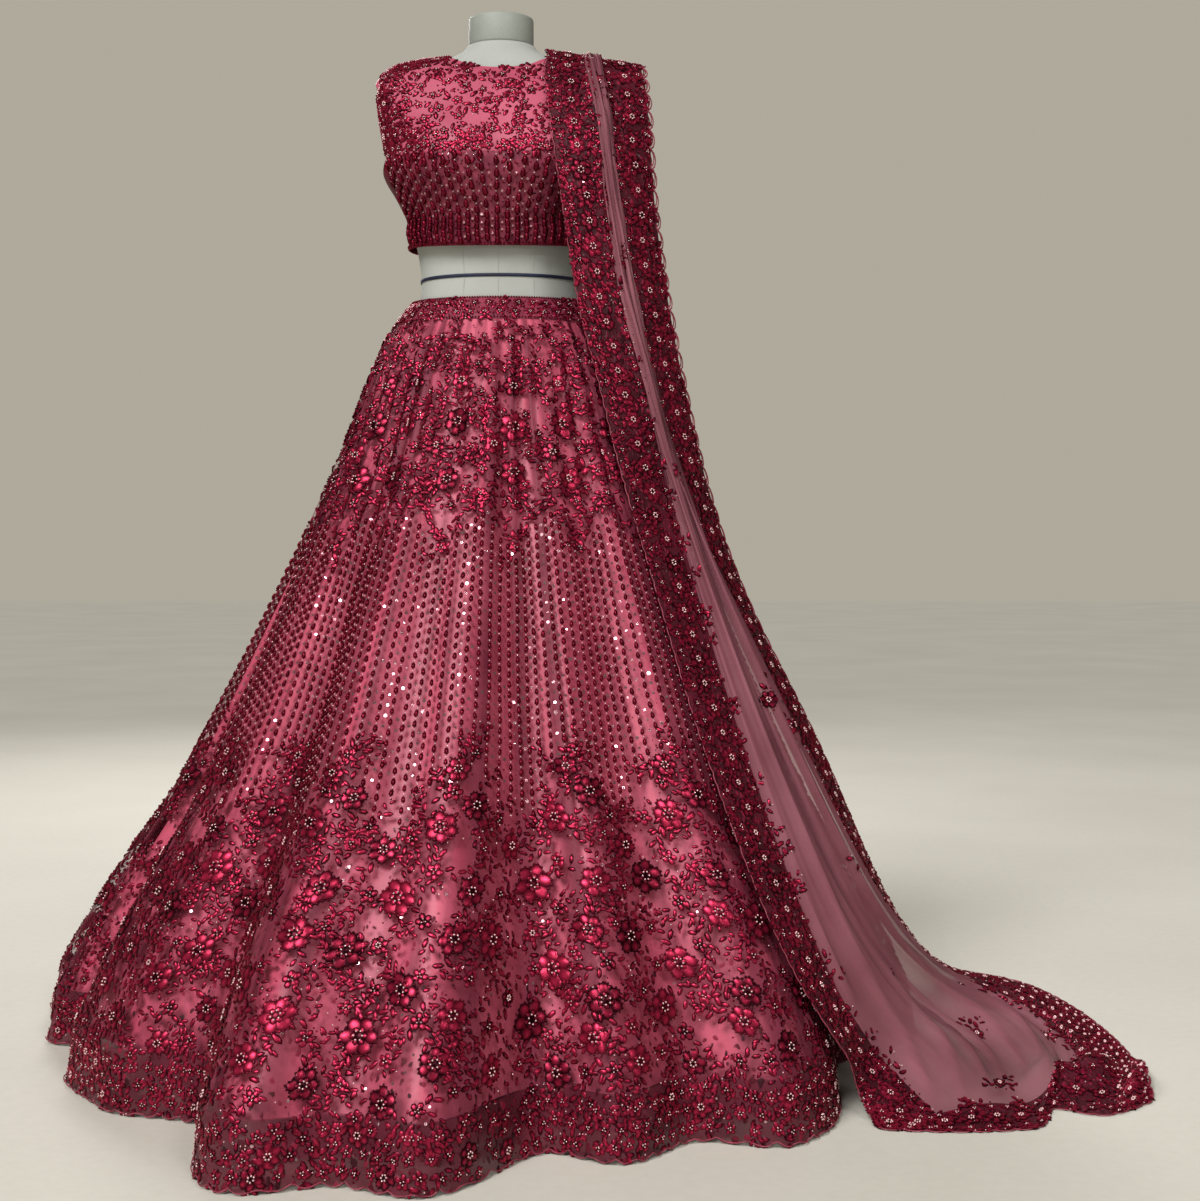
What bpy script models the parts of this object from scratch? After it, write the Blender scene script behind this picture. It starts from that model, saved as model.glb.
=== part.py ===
"""An embroidered lehenga, choli and dupatta, worn by a limbless dress form on a pole stand.

Metres, +Z up, and the garment faces -Y. The origin is the middle of the stand's foot, on the floor.
The skirt stands on the floor round the stand, and the dupatta runs over the wearer's left shoulder
(+X), down the front and out along the floor as a train. Azimuths are in degrees, 0 at the front
and +90 at +X.
"""

import math

import bmesh
import bpy
import numpy as np
from mathutils import Vector
from mathutils.bvhtree import BVHTree

# Walls and seams
SEAM_GAP = 0.0003
NET_WALL = 0.0020
LINING_WALL = 0.0012
CHOLI_WALL = 0.0020
DUPATTA_WALL = 0.0014
DUPATTA_SEAM_GAP = 0.0006

# Dress form, one row for each level from the closed bottom to the neck seam
# height, half_width, front_depth, back_depth, squareness
FORM_SECTIONS = [
    (0.885, 0.150, 0.100, 0.105, 2.2),
    (0.930, 0.170, 0.115, 0.125, 2.2),
    (0.970, 0.172, 0.118, 0.128, 2.2),
    (1.030, 0.157, 0.108, 0.115, 2.1),
    (1.090, 0.137, 0.098, 0.100, 2.1),
    (1.140, 0.1255, 0.092, 0.0925, 2.1),
    (1.170, 0.1225, 0.090, 0.090, 2.1),
    (1.210, 0.127, 0.094, 0.092, 2.1),
    (1.260, 0.139, 0.103, 0.096, 2.1),
    (1.300, 0.150, 0.115, 0.099, 2.2),
    (1.335, 0.158, 0.127, 0.101, 2.3),
    (1.370, 0.163, 0.120, 0.103, 2.4),
    (1.405, 0.166, 0.106, 0.103, 2.5),
    (1.440, 0.165, 0.092, 0.098, 2.5),
    (1.468, 0.156, 0.075, 0.086, 2.4),
    (1.488, 0.134, 0.064, 0.074, 2.2),
    (1.503, 0.092, 0.056, 0.062, 2.0),
    (1.516, 0.062, 0.053, 0.058, 2.0),
    (1.5265, 0.0525, 0.050, 0.053, 2.0),
]
FORM_COLUMNS = 24
NECK_CAP_HEIGHT = 0.044
NECK_CAP_HALF_WIDTH = 0.0495
NECK_CAP_HALF_DEPTH = 0.0475
SHOULDER_PLATE_HALF_DEPTH = 0.042
SHOULDER_PLATE_HALF_HEIGHT = 0.052
SHOULDER_PLATE_THICKNESS = 0.005
SHOULDER_PLATE_HEIGHT = 1.408
TAPE_HEIGHT = 1.170
TAPE_WIDTH = 0.005
TAPE_THICKNESS = 0.0012
POLE_RADIUS = 0.016
COLLAR_RADIUS = 0.027
COLLAR_HEIGHT = 0.040
FOOT_RADIUS = 0.200
FOOT_THICKNESS = 0.016
HUB_RADIUS = 0.030
HUB_HEIGHT = 0.065

# Choli, one row for each ring of cloth from the hem up to the neckline.
# Every ring is a closed curve through its side, front and back points.
# side_x, side_z, front_y, front_z, back_y, back_z, squareness
CHOLI_RINGS = [
    (0.1390, 1.219, 0.110, 1.210, 0.100, 1.221, 2.1),
    (0.1450, 1.240, 0.114, 1.232, 0.102, 1.242, 2.1),
    (0.1440, 1.261, 0.120, 1.255, 0.105, 1.264, 2.1),
    (0.1600, 1.295, 0.133, 1.290, 0.110, 1.296, 2.2),
    (0.1800, 1.332, 0.142, 1.326, 0.113, 1.334, 2.3),
    (0.1850, 1.375, 0.137, 1.366, 0.115, 1.380, 2.4),
    (0.1930, 1.430, 0.117, 1.412, 0.112, 1.436, 2.4),
    (0.1920, 1.470, 0.102, 1.440, 0.103, 1.474, 2.3),
    (0.1650, 1.496, 0.094, 1.456, 0.092, 1.499, 2.2),
    (0.1240, 1.5065, 0.086, 1.468, 0.079, 1.515, 2.1),
    (0.0850, 1.5115, 0.078, 1.479, 0.0645, 1.528, 2.0),
]
CHOLI_COLUMNS = 40
CHOLI_SAG = 1.5
BUST_CUP = 0.010
BUST_CUP_OFFSET = 0.078
BUST_CUP_HEIGHT = 1.335
BUST_CUP_SPREAD = 0.050
# The armhole leaves out these rows of cells, this many columns each side of the side seam
ARMHOLE = (4, 5, 6)
ARMHOLE_REACH = 2

# Lehenga, one row for each level from the waistband's seam down to the hem
# height, mean_radius, flute_share, depth_ratio, gather_depth
SKIRT_LEVELS = [
    (1.1030, 0.1630, 0.00, 0.74, 0.0008),
    (1.0800, 0.1765, 0.02, 0.79, 0.0032),
    (1.0150, 0.2010, 0.08, 0.87, 0.0036),
    (0.9150, 0.2330, 0.14, 0.92, 0.0036),
    (0.7600, 0.2960, 0.26, 0.95, 0.0026),
    (0.5700, 0.3750, 0.45, 0.98, 0.0008),
    (0.3900, 0.4580, 0.60, 1.00, 0.0),
    (0.2200, 0.5540, 0.80, 1.00, 0.0),
    (0.0850, 0.6180, 0.96, 1.00, 0.0),
    (0.0, 0.6300, 1.00, 1.00, 0.0),
]
# The hem's outline on the floor, one row for each crest, shoulder and trough of the flutes
# azimuth, radius
HEM_FOLDS = [
    (-104, 0.780),
    (-96, 0.660),
    (-89, 0.705),
    (-82, 0.612),
    (-70, 0.652),
    (-57, 0.634),
    (-43, 0.565),
    (-24, 0.728),
    (-14, 0.664),
    (-6, 0.685),
    (9, 0.532),
    (18, 0.595),
    (29, 0.555),
    (39, 0.640),
    (72, 0.520),
    (95, 0.650),
    (112, 0.575),
    (128, 0.680),
    (146, 0.570),
    (162, 0.660),
    (178, 0.560),
    (196, 0.670),
    (212, 0.580),
    (226, 0.690),
    (241, 0.620),
]
GORES = 18
COLUMNS_PER_GORE = 8
GATHERS = 48
FIRST_SEAM = -3.3
SCALLOP_HEIGHT = 0.007
BAND_HEIGHT = 0.034
BAND_TOP_HALF_WIDTH = 0.1355
BAND_TOP_DEPTH = 0.0951
LINING_COLUMNS = 64
LINING_TOP = 0.0045
# height, depth of the lining below the net's mean surface
LINING_LEVELS = [
    (1.0600, 0.0090),
    (0.9250, 0.0110),
    (0.6400, 0.0120),
    (0.3600, 0.0200),
    (0.0780, 0.0220),
]

# Dupatta, one row for each section across its width, from the end that hangs at the back, over the
# shoulder, down the front and out to the end on the floor. The inner edge is the one by the neck.
# stretch, inner_x, inner_y, inner_z, outer_x, outer_y, outer_z, bulge, fold
DUPATTA_SECTIONS = [
    ("back", 0.028, 0.372, 0.640, 0.318, 0.262, 0.610, 0.040, 0.016),
    ("back", 0.032, 0.318, 0.765, 0.290, 0.218, 0.740, 0.036, 0.016),
    ("back", 0.038, 0.262, 0.890, 0.268, 0.176, 0.865, 0.030, 0.014),
    ("back", 0.046, 0.208, 1.010, 0.250, 0.140, 0.985, 0.022, 0.011),
    ("back", 0.056, 0.170, 1.130, 0.240, 0.118, 1.105, 0.016, 0.008),
    ("back", 0.068, 0.152, 1.260, 0.231, 0.104, 1.235, 0.012, 0.006),
    ("shoulder", 0.078, 0.142, 1.380, 0.226, 0.094, 1.365, 0.010, 0.005),
    ("shoulder", 0.084, 0.104, 1.488, 0.220, 0.074, 1.460, 0.004, 0.003),
    ("shoulder", 0.072, 0.040, 1.533, 0.212, 0.020, 1.506, 0.002, 0.002),
    ("shoulder", 0.066, -0.040, 1.514, 0.212, -0.030, 1.494, 0.005, 0.003),
    ("shoulder", 0.073, -0.112, 1.445, 0.221, -0.064, 1.440, 0.010, 0.004),
    ("front", 0.084, -0.146, 1.363, 0.226, -0.076, 1.368, 0.010, 0.005),
    ("front", 0.094, -0.156, 1.290, 0.230, -0.076, 1.296, 0.010, 0.006),
    ("front", 0.108, -0.152, 1.200, 0.241, -0.072, 1.205, 0.010, 0.007),
    ("front", 0.122, -0.148, 1.105, 0.257, -0.064, 1.110, 0.010, 0.009),
    ("front", 0.150, -0.152, 1.015, 0.275, -0.055, 1.020, 0.011, 0.011),
    ("front", 0.172, -0.164, 0.910, 0.299, -0.043, 0.914, 0.012, 0.014),
    ("front", 0.205, -0.202, 0.795, 0.334, -0.026, 0.790, 0.012, 0.017),
    ("front", 0.242, -0.250, 0.670, 0.388, -0.022, 0.655, 0.014, 0.020),
    ("front", 0.276, -0.290, 0.545, 0.458, -0.026, 0.525, 0.016, 0.022),
    ("front", 0.314, -0.330, 0.435, 0.516, -0.018, 0.400, 0.020, 0.023),
    ("front", 0.350, -0.372, 0.335, 0.564, 0.014, 0.290, 0.026, 0.024),
    ("train", 0.388, -0.402, 0.245, 0.622, 0.080, 0.180, 0.034, 0.026),
    ("train", 0.424, -0.406, 0.170, 0.696, 0.240, 0.085, 0.046, 0.028),
    ("train", 0.456, -0.394, 0.108, 0.772, 0.372, 0.014, 0.060, 0.030),
    ("train", 0.480, -0.378, 0.066, 0.864, 0.396, 0.003, 0.066, 0.028),
    ("train", 0.496, -0.372, 0.038, 0.922, 0.270, 0.0, 0.070, 0.024),
    ("train", 0.507, -0.380, 0.018, 0.947, 0.080, 0.0, 0.074, 0.018),
    ("train", 0.514, -0.398, 0.006, 0.950, -0.115, 0.0, 0.066, 0.008),
    ("train", 0.519, -0.430, 0.0, 0.914, -0.314, 0.0, 0.056, 0.0),
]
ROWS_PER_SECTION = 2
SIDE_BORDER = 0.088
SIDE_BORDER_MOST = 0.44
BORDER_COLUMNS = 3
# How far each column of the net stands out in its folds
NET_FOLD_SHAPE = (0.0, 0.5, 1.0, 0.8, 0.15, 0.0, 0.7, 0.95, 0.3, 0.0, 0.3, 0.15, 0.0)
NET_COLUMNS = len(NET_FOLD_SHAPE) - 1
BACK_END_ROWS = 2
TRAIN_END_ROWS = 2
SKIRT_CLEARANCE = 0.0050
CHOLI_CLEARANCE = 0.0050
FORM_CLEARANCE = 0.0012
REACH_SPREAD = 6.0
SMOOTHINGS = 2
# A roll of cloth lies across the train's far corner
ROLL_PLACE = (0.850, -0.235)
ROLL_HEIGHT = 0.034
ROLL_HALF_WIDTH = 0.034
ROLL_HALF_LENGTH = 0.110
ROLL_AZIMUTH = 112
# The train's edge is notched between two lobes
NOTCH_PLACE = 0.64
NOTCH_HALF_WIDTH = 0.080
NOTCH_DEPTH = 0.062


def material(name, colour, roughness, metallic=0.0):
    made = bpy.data.materials.new(name)
    made.use_nodes = True
    shader = made.node_tree.nodes["Principled BSDF"]
    shader.inputs["Base Color"].default_value = (*colour, 1.0)
    shader.inputs["Roughness"].default_value = roughness
    shader.inputs["Metallic"].default_value = metallic
    return made


def add_object(name, mesh_builder, finish):
    mesh = bpy.data.meshes.new(name)
    bmesh.ops.recalc_face_normals(mesh_builder, faces=mesh_builder.faces)
    mesh_builder.to_mesh(mesh)
    mesh_builder.free()
    mesh.materials.append(finish)
    made = bpy.data.objects.new(name, mesh)
    bpy.context.scene.collection.objects.link(made)
    return made


def smooth(made, angle=40.0):
    made.data.shade_smooth()
    made.data.set_sharp_from_angle(angle=math.radians(angle))


# Cloth walls


def outward_normals(grid, wrapped, centre):
    """Unit normals of a grid of points [row, column], on the side away from centre."""
    along = np.gradient(grid, axis=0)
    across = np.gradient(grid, axis=1)
    if wrapped:
        across = (np.roll(grid, -1, axis=1) - np.roll(grid, 1, axis=1)) / 2
    normals = np.cross(across, along)
    normals /= np.linalg.norm(normals, axis=2, keepdims=True)
    if np.sum(normals * (grid - np.array(centre))) < 0:
        normals = -normals
    return normals


def inner_side(grid, thickness, wrapped=False, centre=(0.0, 0.0, 0.5)):
    return grid - thickness * outward_normals(grid, wrapped, centre)


def pulled_in(grid, first=True, last=True, gap=SEAM_GAP):
    """The same grid with its seam columns half a seam gap nearer to their neighbours."""
    moved = grid.copy()
    for wanted, edge, neighbour in ((first, 0, 1), (last, -1, -2)):
        if wanted:
            seam = np.gradient(grid[:, edge], axis=0)
            seam /= np.linalg.norm(seam, axis=1, keepdims=True)
            step = grid[:, neighbour] - grid[:, edge]
            step -= seam * np.sum(step * seam, axis=1, keepdims=True)
            moved[:, edge] += step / np.linalg.norm(step, axis=1, keepdims=True) * gap / 2
    return moved


def wall(name, outer, inner, finish, wrapped=False, holes=()):
    """A closed wall between two grids [row, column]. holes has the (row, column) cells left out."""
    rows, columns = outer.shape[:2]
    mesh_builder = bmesh.new()
    corners = [
        [[mesh_builder.verts.new(point) for point in line] for line in side]
        for side in (outer, inner)
    ]
    spans = columns if wrapped else columns - 1
    for row in range(rows - 1):
        for column in range(spans):
            if (row, column) in holes:
                continue
            beside = (column + 1) % columns
            for side in corners:
                mesh_builder.faces.new(
                    (side[row][column], side[row][beside], side[row + 1][beside], side[row + 1][column])
                )
    other_side = {}
    for outer_line, inner_line in zip(*corners):
        other_side.update(zip(outer_line, inner_line))
    for edge in list(mesh_builder.edges):
        start, end = edge.verts
        if len(edge.link_faces) == 1 and start in other_side and end in other_side:
            mesh_builder.faces.new((start, end, other_side[end], other_side[start]))
    unused = [vertex for vertex in mesh_builder.verts if not vertex.link_faces]
    bmesh.ops.delete(mesh_builder, geom=unused, context="VERTS")
    made = add_object(name, mesh_builder, finish)
    smooth(made)
    return made


def surface_of(grid):
    """A wrapped grid's surface, to lay other cloth on."""
    rows, columns = grid.shape[:2]
    corners = [Vector(point) for point in grid.reshape(-1, 3)]
    faces = []
    for row in range(rows - 1):
        for column in range(columns):
            beside = (column + 1) % columns
            first, second = row * columns, (row + 1) * columns
            faces.append((first + column, first + beside, second + beside, second + column))
    return BVHTree.FromPolygons(corners, faces)


def lifted_off(point, surface, least):
    """The point, or the nearest place that is the least distance outside the surface."""
    place, normal, _, _ = surface.find_nearest(Vector(point))
    if normal.dot(place - Vector((0.0, 0.0, BUST_CUP_HEIGHT))) < 0:
        normal = -normal
    if (Vector(point) - place).dot(normal) < least:
        return np.array(place + normal * least)
    return point


# Dress form


def oval(half_width, front, back, squareness, height, columns):
    """A closed ring at one height, from the front round by +X."""
    power = 2.0 / squareness
    points = []
    for column in range(columns):
        angle = 2 * math.pi * column / columns
        across, along = math.sin(angle), math.cos(angle)
        depth = front if along > 0 else back
        points.append(
            (
                half_width * math.copysign(abs(across) ** power, across),
                -depth * math.copysign(abs(along) ** power, along),
                height,
            )
        )
    return points


def form_ring(height, grown=0.0, columns=FORM_COLUMNS):
    """The form's outline at any height, grown outwards by a distance."""
    table = np.array(FORM_SECTIONS)
    half_width, front, back, squareness = (
        float(np.interp(height, table[:, 0], table[:, column])) for column in range(1, 5)
    )
    return oval(half_width + grown, front + grown, back + grown, squareness, height, columns)


def lofted(name, rings, finish, angle=40.0):
    """A closed solid through rings that have the same number of points."""
    mesh_builder = bmesh.new()
    loops = []
    for ring in rings:
        corners = [mesh_builder.verts.new(point) for point in ring]
        loops.append([mesh_builder.edges.new((a, b)) for a, b in zip(corners, corners[1:] + corners[:1])])
    for lower, upper in zip(loops, loops[1:]):
        bmesh.ops.bridge_loops(mesh_builder, edges=lower + upper)
    bmesh.ops.holes_fill(mesh_builder, edges=loops[0] + loops[-1], sides=0)
    made = add_object(name, mesh_builder, finish)
    smooth(made, angle)
    return made


def turned(name, profile, finish, steps=28):
    """A closed solid of revolution about Z. profile has (radius, height) corners, bottom to top."""
    mesh_builder = bmesh.new()
    corners = [mesh_builder.verts.new((radius, 0.0, height)) for radius, height in profile]
    edges = [mesh_builder.edges.new((a, b)) for a, b in zip(corners, corners[1:])]
    bmesh.ops.spin(
        mesh_builder,
        geom=corners + edges,
        axis=(0, 0, 1),
        cent=(0, 0, 0),
        steps=steps,
        angle=2 * math.pi,
        use_merge=True,
    )
    bmesh.ops.remove_doubles(mesh_builder, verts=mesh_builder.verts, dist=1e-5)
    made = add_object(name, mesh_builder, finish)
    smooth(made)
    return made


def build_form(cover, cap_paint, tape_cloth, steel, iron):
    rings = [form_ring(section[0]) for section in FORM_SECTIONS]
    lofted("form_torso", rings, cover)

    neck_seam = FORM_SECTIONS[-1][0] + SEAM_GAP
    edge = 0.003
    cap_levels = [(0.0, edge), (edge, 0.0), (NECK_CAP_HEIGHT - edge, 0.0), (NECK_CAP_HEIGHT, edge)]
    cap_rings = [
        oval(
            NECK_CAP_HALF_WIDTH - inset,
            NECK_CAP_HALF_DEPTH - inset,
            NECK_CAP_HALF_DEPTH - inset,
            2.0,
            neck_seam + rise,
            FORM_COLUMNS,
        )
        for rise, inset in cap_levels
    ]
    lofted("form_neck_cap", cap_rings, cap_paint)

    reach = max(point[0] for point in form_ring(SHOULDER_PLATE_HEIGHT)) + SEAM_GAP
    for side, label in ((-1, "right"), (1, "left")):
        plate_rings = []
        for depth in (0.0, SHOULDER_PLATE_THICKNESS):
            plate_rings.append(
                [
                    (
                        side * (reach + depth),
                        SHOULDER_PLATE_HALF_DEPTH * math.cos(angle),
                        SHOULDER_PLATE_HEIGHT + SHOULDER_PLATE_HALF_HEIGHT * math.sin(angle),
                    )
                    for angle in np.linspace(0, 2 * math.pi, 24, endpoint=False)
                ]
            )
        lofted(f"form_armhole_plate_{label}", plate_rings, cap_paint)

    levels = (TAPE_HEIGHT + TAPE_WIDTH / 2, TAPE_HEIGHT - TAPE_WIDTH / 2)
    tape_outer = np.array([form_ring(z, SEAM_GAP + TAPE_THICKNESS) for z in levels])
    tape_inner = np.array([form_ring(z, SEAM_GAP) for z in levels])
    wall("form_waist_tape", tape_outer, tape_inner, tape_cloth, wrapped=True)

    form_bottom = FORM_SECTIONS[0][0] - SEAM_GAP
    collar_bottom = form_bottom - COLLAR_HEIGHT
    turned(
        "stand_collar",
        [(0.0, collar_bottom), (COLLAR_RADIUS, collar_bottom), (COLLAR_RADIUS, form_bottom), (0.0, form_bottom)],
        steel,
        24,
    )
    pole_top = collar_bottom - SEAM_GAP
    pole_bottom = HUB_HEIGHT + SEAM_GAP
    turned(
        "stand_pole",
        [(0.0, pole_bottom), (POLE_RADIUS, pole_bottom), (POLE_RADIUS, pole_top), (0.0, pole_top)],
        steel,
        20,
    )
    rim = 0.004
    turned(
        "stand_foot",
        [
            (0.0, 0.0),
            (FOOT_RADIUS, 0.0),
            (FOOT_RADIUS, FOOT_THICKNESS - rim),
            (FOOT_RADIUS - rim, FOOT_THICKNESS),
            (2 * HUB_RADIUS, FOOT_THICKNESS + rim),
            (HUB_RADIUS, HUB_HEIGHT / 2),
            (HUB_RADIUS - rim, HUB_HEIGHT),
            (0.0, HUB_HEIGHT),
        ],
        iron,
        32,
    )


# Choli


def choli_grid():
    """The choli's outer points [ring, column], the first column at the middle of the back."""
    power = [2.0 / ring[6] for ring in CHOLI_RINGS]
    grid = np.zeros((len(CHOLI_RINGS), CHOLI_COLUMNS, 3))
    for row, (side_x, side_z, front_y, front_z, back_y, back_z, _) in enumerate(CHOLI_RINGS):
        for column in range(CHOLI_COLUMNS):
            angle = math.pi + 2 * math.pi * column / CHOLI_COLUMNS
            across, along = math.sin(angle), math.cos(angle)
            middle_y, middle_z = (-front_y, front_z) if along > 0 else (back_y, back_z)
            x = side_x * math.copysign(abs(across) ** power[row], across)
            y = middle_y * abs(along) ** power[row]
            z = side_z + (middle_z - side_z) * abs(along) ** CHOLI_SAG
            if along > 0:
                cup = sum(
                    math.exp(
                        -(((x - side * BUST_CUP_OFFSET) / BUST_CUP_SPREAD) ** 2)
                        - ((z - BUST_CUP_HEIGHT) / BUST_CUP_SPREAD) ** 2
                    )
                    for side in (-1, 1)
                )
                y -= BUST_CUP * cup * along
            grid[row, column] = (x, y, z)
    form = surface_of(np.array([form_ring(section[0]) for section in FORM_SECTIONS]))
    for line in grid:
        for point in line:
            point[:] = lifted_off(point, form, FORM_CLEARANCE + CHOLI_WALL)
    round_armholes(grid)
    return grid


def round_armholes(grid):
    """Moves the edge of each armhole from a rectangle of cells to an oval."""
    first, last = min(ARMHOLE), max(ARMHOLE) + 1
    for seam in (CHOLI_COLUMNS // 4, 3 * CHOLI_COLUMNS // 4):
        columns = range(seam - ARMHOLE_REACH, seam + ARMHOLE_REACH + 1)
        corners = grid[first : last + 1, columns[0] : columns[-1] + 1]
        low, high = corners[..., 1:].min(axis=(0, 1)), corners[..., 1:].max(axis=(0, 1))
        centre, half = (low + high) / 2, (high - low) / 2
        for row in range(first, last + 1):
            for column in columns:
                if row in (first, last) or column in (columns[0], columns[-1]):
                    away = grid[row, column, 1:] - centre
                    grid[row, column, 1:] = centre + away / np.linalg.norm(away / half)


def build_choli(cloth):
    """The front, and two backs that meet at the middle of the back, with open armholes and neck."""
    outer = choli_grid()
    inner = inner_side(outer, CHOLI_WALL, wrapped=True, centre=(0.0, 0.0, 1.33))
    quarter = CHOLI_COLUMNS // 4
    spans = {
        "choli_back_right": (0, quarter),
        "choli_front": (quarter, 3 * quarter),
        "choli_back_left": (3 * quarter, 4 * quarter),
    }
    for name, (start, end) in spans.items():
        columns = [column % CHOLI_COLUMNS for column in range(start, end + 1)]
        holes = set()
        for row in ARMHOLE:
            for seam in (quarter, 3 * quarter):
                for column in range(seam - ARMHOLE_REACH, seam + ARMHOLE_REACH):
                    if start <= column < end:
                        holes.add((row, column - start))
        wall(name, pulled_in(outer[:, columns]), pulled_in(inner[:, columns]), cloth, holes=holes)


# Lehenga


def band_point(azimuth, share):
    """A point of the waistband, from its seam at share 0 to its top at share 1."""
    turn = math.radians(azimuth)
    x, y, z = skirt_point(azimuth, SKIRT_LEVELS[0][0], gathered=False)
    return (
        x + share * (BAND_TOP_HALF_WIDTH * math.sin(turn) - x),
        y + share * (-BAND_TOP_DEPTH * math.cos(turn) - y),
        z + share * BAND_HEIGHT,
    )


def hem_radius(azimuth):
    """The hem's radius on the floor, eased from each crest to the next trough."""
    start = HEM_FOLDS[0][0]
    azimuth = (azimuth - start) % 360 + start
    closed = HEM_FOLDS + [(start + 360, HEM_FOLDS[0][1])]
    for (before, radius), (after, next_radius) in zip(closed, closed[1:]):
        if azimuth <= after:
            share = (azimuth - before) / (after - before)
            return radius + (next_radius - radius) * (1 - math.cos(math.pi * share)) / 2
    return closed[-1][1]


def skirt_level(height):
    """mean_radius, flute_share, depth_ratio and gather_depth at any height."""
    table = np.array(SKIRT_LEVELS[::-1])
    return [float(np.interp(height, table[:, 0], table[:, column])) for column in range(1, 5)]


def skirt_point(azimuth, height, inset=0.0, gathered=True):
    mean_radius, flute_share, depth_ratio, gather_depth = skirt_level(height)
    radius = mean_radius - inset + flute_share * (hem_radius(azimuth) - SKIRT_LEVELS[-1][1])
    turn = math.radians(azimuth)
    if gathered:
        radius += gather_depth * math.cos(GATHERS * (turn - math.radians(first_crest())))
    return (radius * math.sin(turn), -radius * depth_ratio * math.cos(turn), height)


def first_crest():
    """The azimuth of a gather's crest near the middle of the front gore."""
    return FIRST_SEAM + (COLUMNS_PER_GORE // 2) * 360.0 / (GORES * COLUMNS_PER_GORE)


def skirt_reach(x, y, height):
    """How far from the axis the net reaches near this direction, crests included."""
    _, _, depth_ratio, gather_depth = skirt_level(height)
    facing = math.atan2(x, -y)
    azimuth = math.degrees(math.atan2(depth_ratio * math.sin(facing), math.cos(facing)))
    spread = (-REACH_SPREAD, -REACH_SPREAD / 2, 0.0, REACH_SPREAD / 2, REACH_SPREAD)
    near = [skirt_point(azimuth + turn, height, gathered=False) for turn in spread]
    return max(math.hypot(px, py) for px, py, _ in near) + gather_depth


def build_skirt(net, band_cloth, satin):
    columns = GORES * COLUMNS_PER_GORE
    azimuths = [FIRST_SEAM + 360.0 * column / columns for column in range(columns)]
    outer = np.array([[skirt_point(a, level[0]) for a in azimuths] for level in SKIRT_LEVELS])
    outer[-1, 1::2, 2] += SCALLOP_HEIGHT
    inner = inner_side(outer, NET_WALL, wrapped=True)
    inner[-1, :, 2] = outer[-1, :, 2]
    inner[0, :, 2] = outer[0, :, 2]
    for gore in range(GORES):
        start = gore * COLUMNS_PER_GORE
        span = [column % columns for column in range(start, start + COLUMNS_PER_GORE + 1)]
        wall(f"lehenga_gore_{gore + 1:02d}", pulled_in(outer[:, span]), pulled_in(inner[:, span]), net)

    seam_share = SEAM_GAP / BAND_HEIGHT
    band_outer = np.array([[band_point(a, share) for a in azimuths[::3]] for share in (1.0, seam_share)])
    band_inner = inner_side(band_outer, NET_WALL, wrapped=True)
    band_inner[:, :, 2] = band_outer[:, :, 2]
    wall("lehenga_waistband", band_outer, band_inner, band_cloth, wrapped=True)

    # The lining's top edge stands just inside the waistband's lower edge
    turns = [360.0 * column / LINING_COLUMNS for column in range(LINING_COLUMNS)]
    rings = [[band_point(a, LINING_TOP / BAND_HEIGHT) for a in turns]]
    rings += [[skirt_point(a, z, gathered=False) for a in turns] for z, _ in LINING_LEVELS]
    depths = np.array([NET_WALL + LINING_WALL + SEAM_GAP] + [depth for _, depth in LINING_LEVELS])
    lining = inner_side(np.array(rings), depths[:, None, None], wrapped=True)
    lining[0, :, 2] = SKIRT_LEVELS[0][0] + LINING_TOP
    lining[-1, :, 2] = LINING_LEVELS[-1][0]
    wall("lehenga_lining", lining, inner_side(lining, LINING_WALL, wrapped=True), satin, wrapped=True)


# Dupatta


def eased_rows(values, steps):
    """Points of a smooth curve through the rows of a table, with some steps between rows."""
    values = np.array(values, float)
    before = np.vstack([2 * values[0] - values[1], values, 2 * values[-1] - values[-2]])
    rows = []
    for index in range(len(values) - 1):
        p0, p1, p2, p3 = before[index : index + 4]
        for step in range(steps):
            t = step / steps
            rows.append(
                0.5 * (2 * p1 + (p2 - p0) * t + (2 * p0 - 5 * p1 + 4 * p2 - p3) * t**2 + (3 * p1 - p0 - 3 * p2 + p3) * t**3)
            )
    rows.append(values[-1])
    return np.array(rows)


def section_points(row, notch):
    """One section of the dupatta, and its share of width at each border's seam."""
    inner_edge, outer_edge, bulge = row[0:3], row[3:6], row[6]
    chord = outer_edge - inner_edge
    outward = np.array([chord[1], -chord[0], 0.0])
    outward /= np.linalg.norm(outward)
    middle = (inner_edge + outer_edge) / 2
    if np.dot(outward, [middle[0], middle[1], 0.0]) < 0:
        outward = -outward

    def point(share):
        dent = notch * math.exp(-(((share - NOTCH_PLACE) / NOTCH_HALF_WIDTH) ** 2))
        return inner_edge + chord * share + outward * (bulge * 4 * share * (1 - share) - dent)

    fine = np.array([point(share) for share in np.linspace(0, 1, 60)])
    length = np.concatenate([[0], np.cumsum(np.linalg.norm(np.diff(fine, axis=0), axis=1))])
    border = min(SIDE_BORDER, SIDE_BORDER_MOST * length[-1])
    distances = np.concatenate(
        [
            np.linspace(0, border, BORDER_COLUMNS + 1),
            np.linspace(border, length[-1] - border, NET_COLUMNS + 1)[1:],
            np.linspace(length[-1] - border, length[-1], BORDER_COLUMNS + 1)[1:],
        ]
    )
    shares = np.interp(distances, length, np.linspace(0, 1, 60))
    return np.array([point(share) for share in shares])


def fold_shape():
    """How far each column stands out in the folds, from 0 to 1. The side borders hang flat."""
    flat = [0.0] * BORDER_COLUMNS
    return np.array(flat + list(NET_FOLD_SHAPE) + flat)


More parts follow.
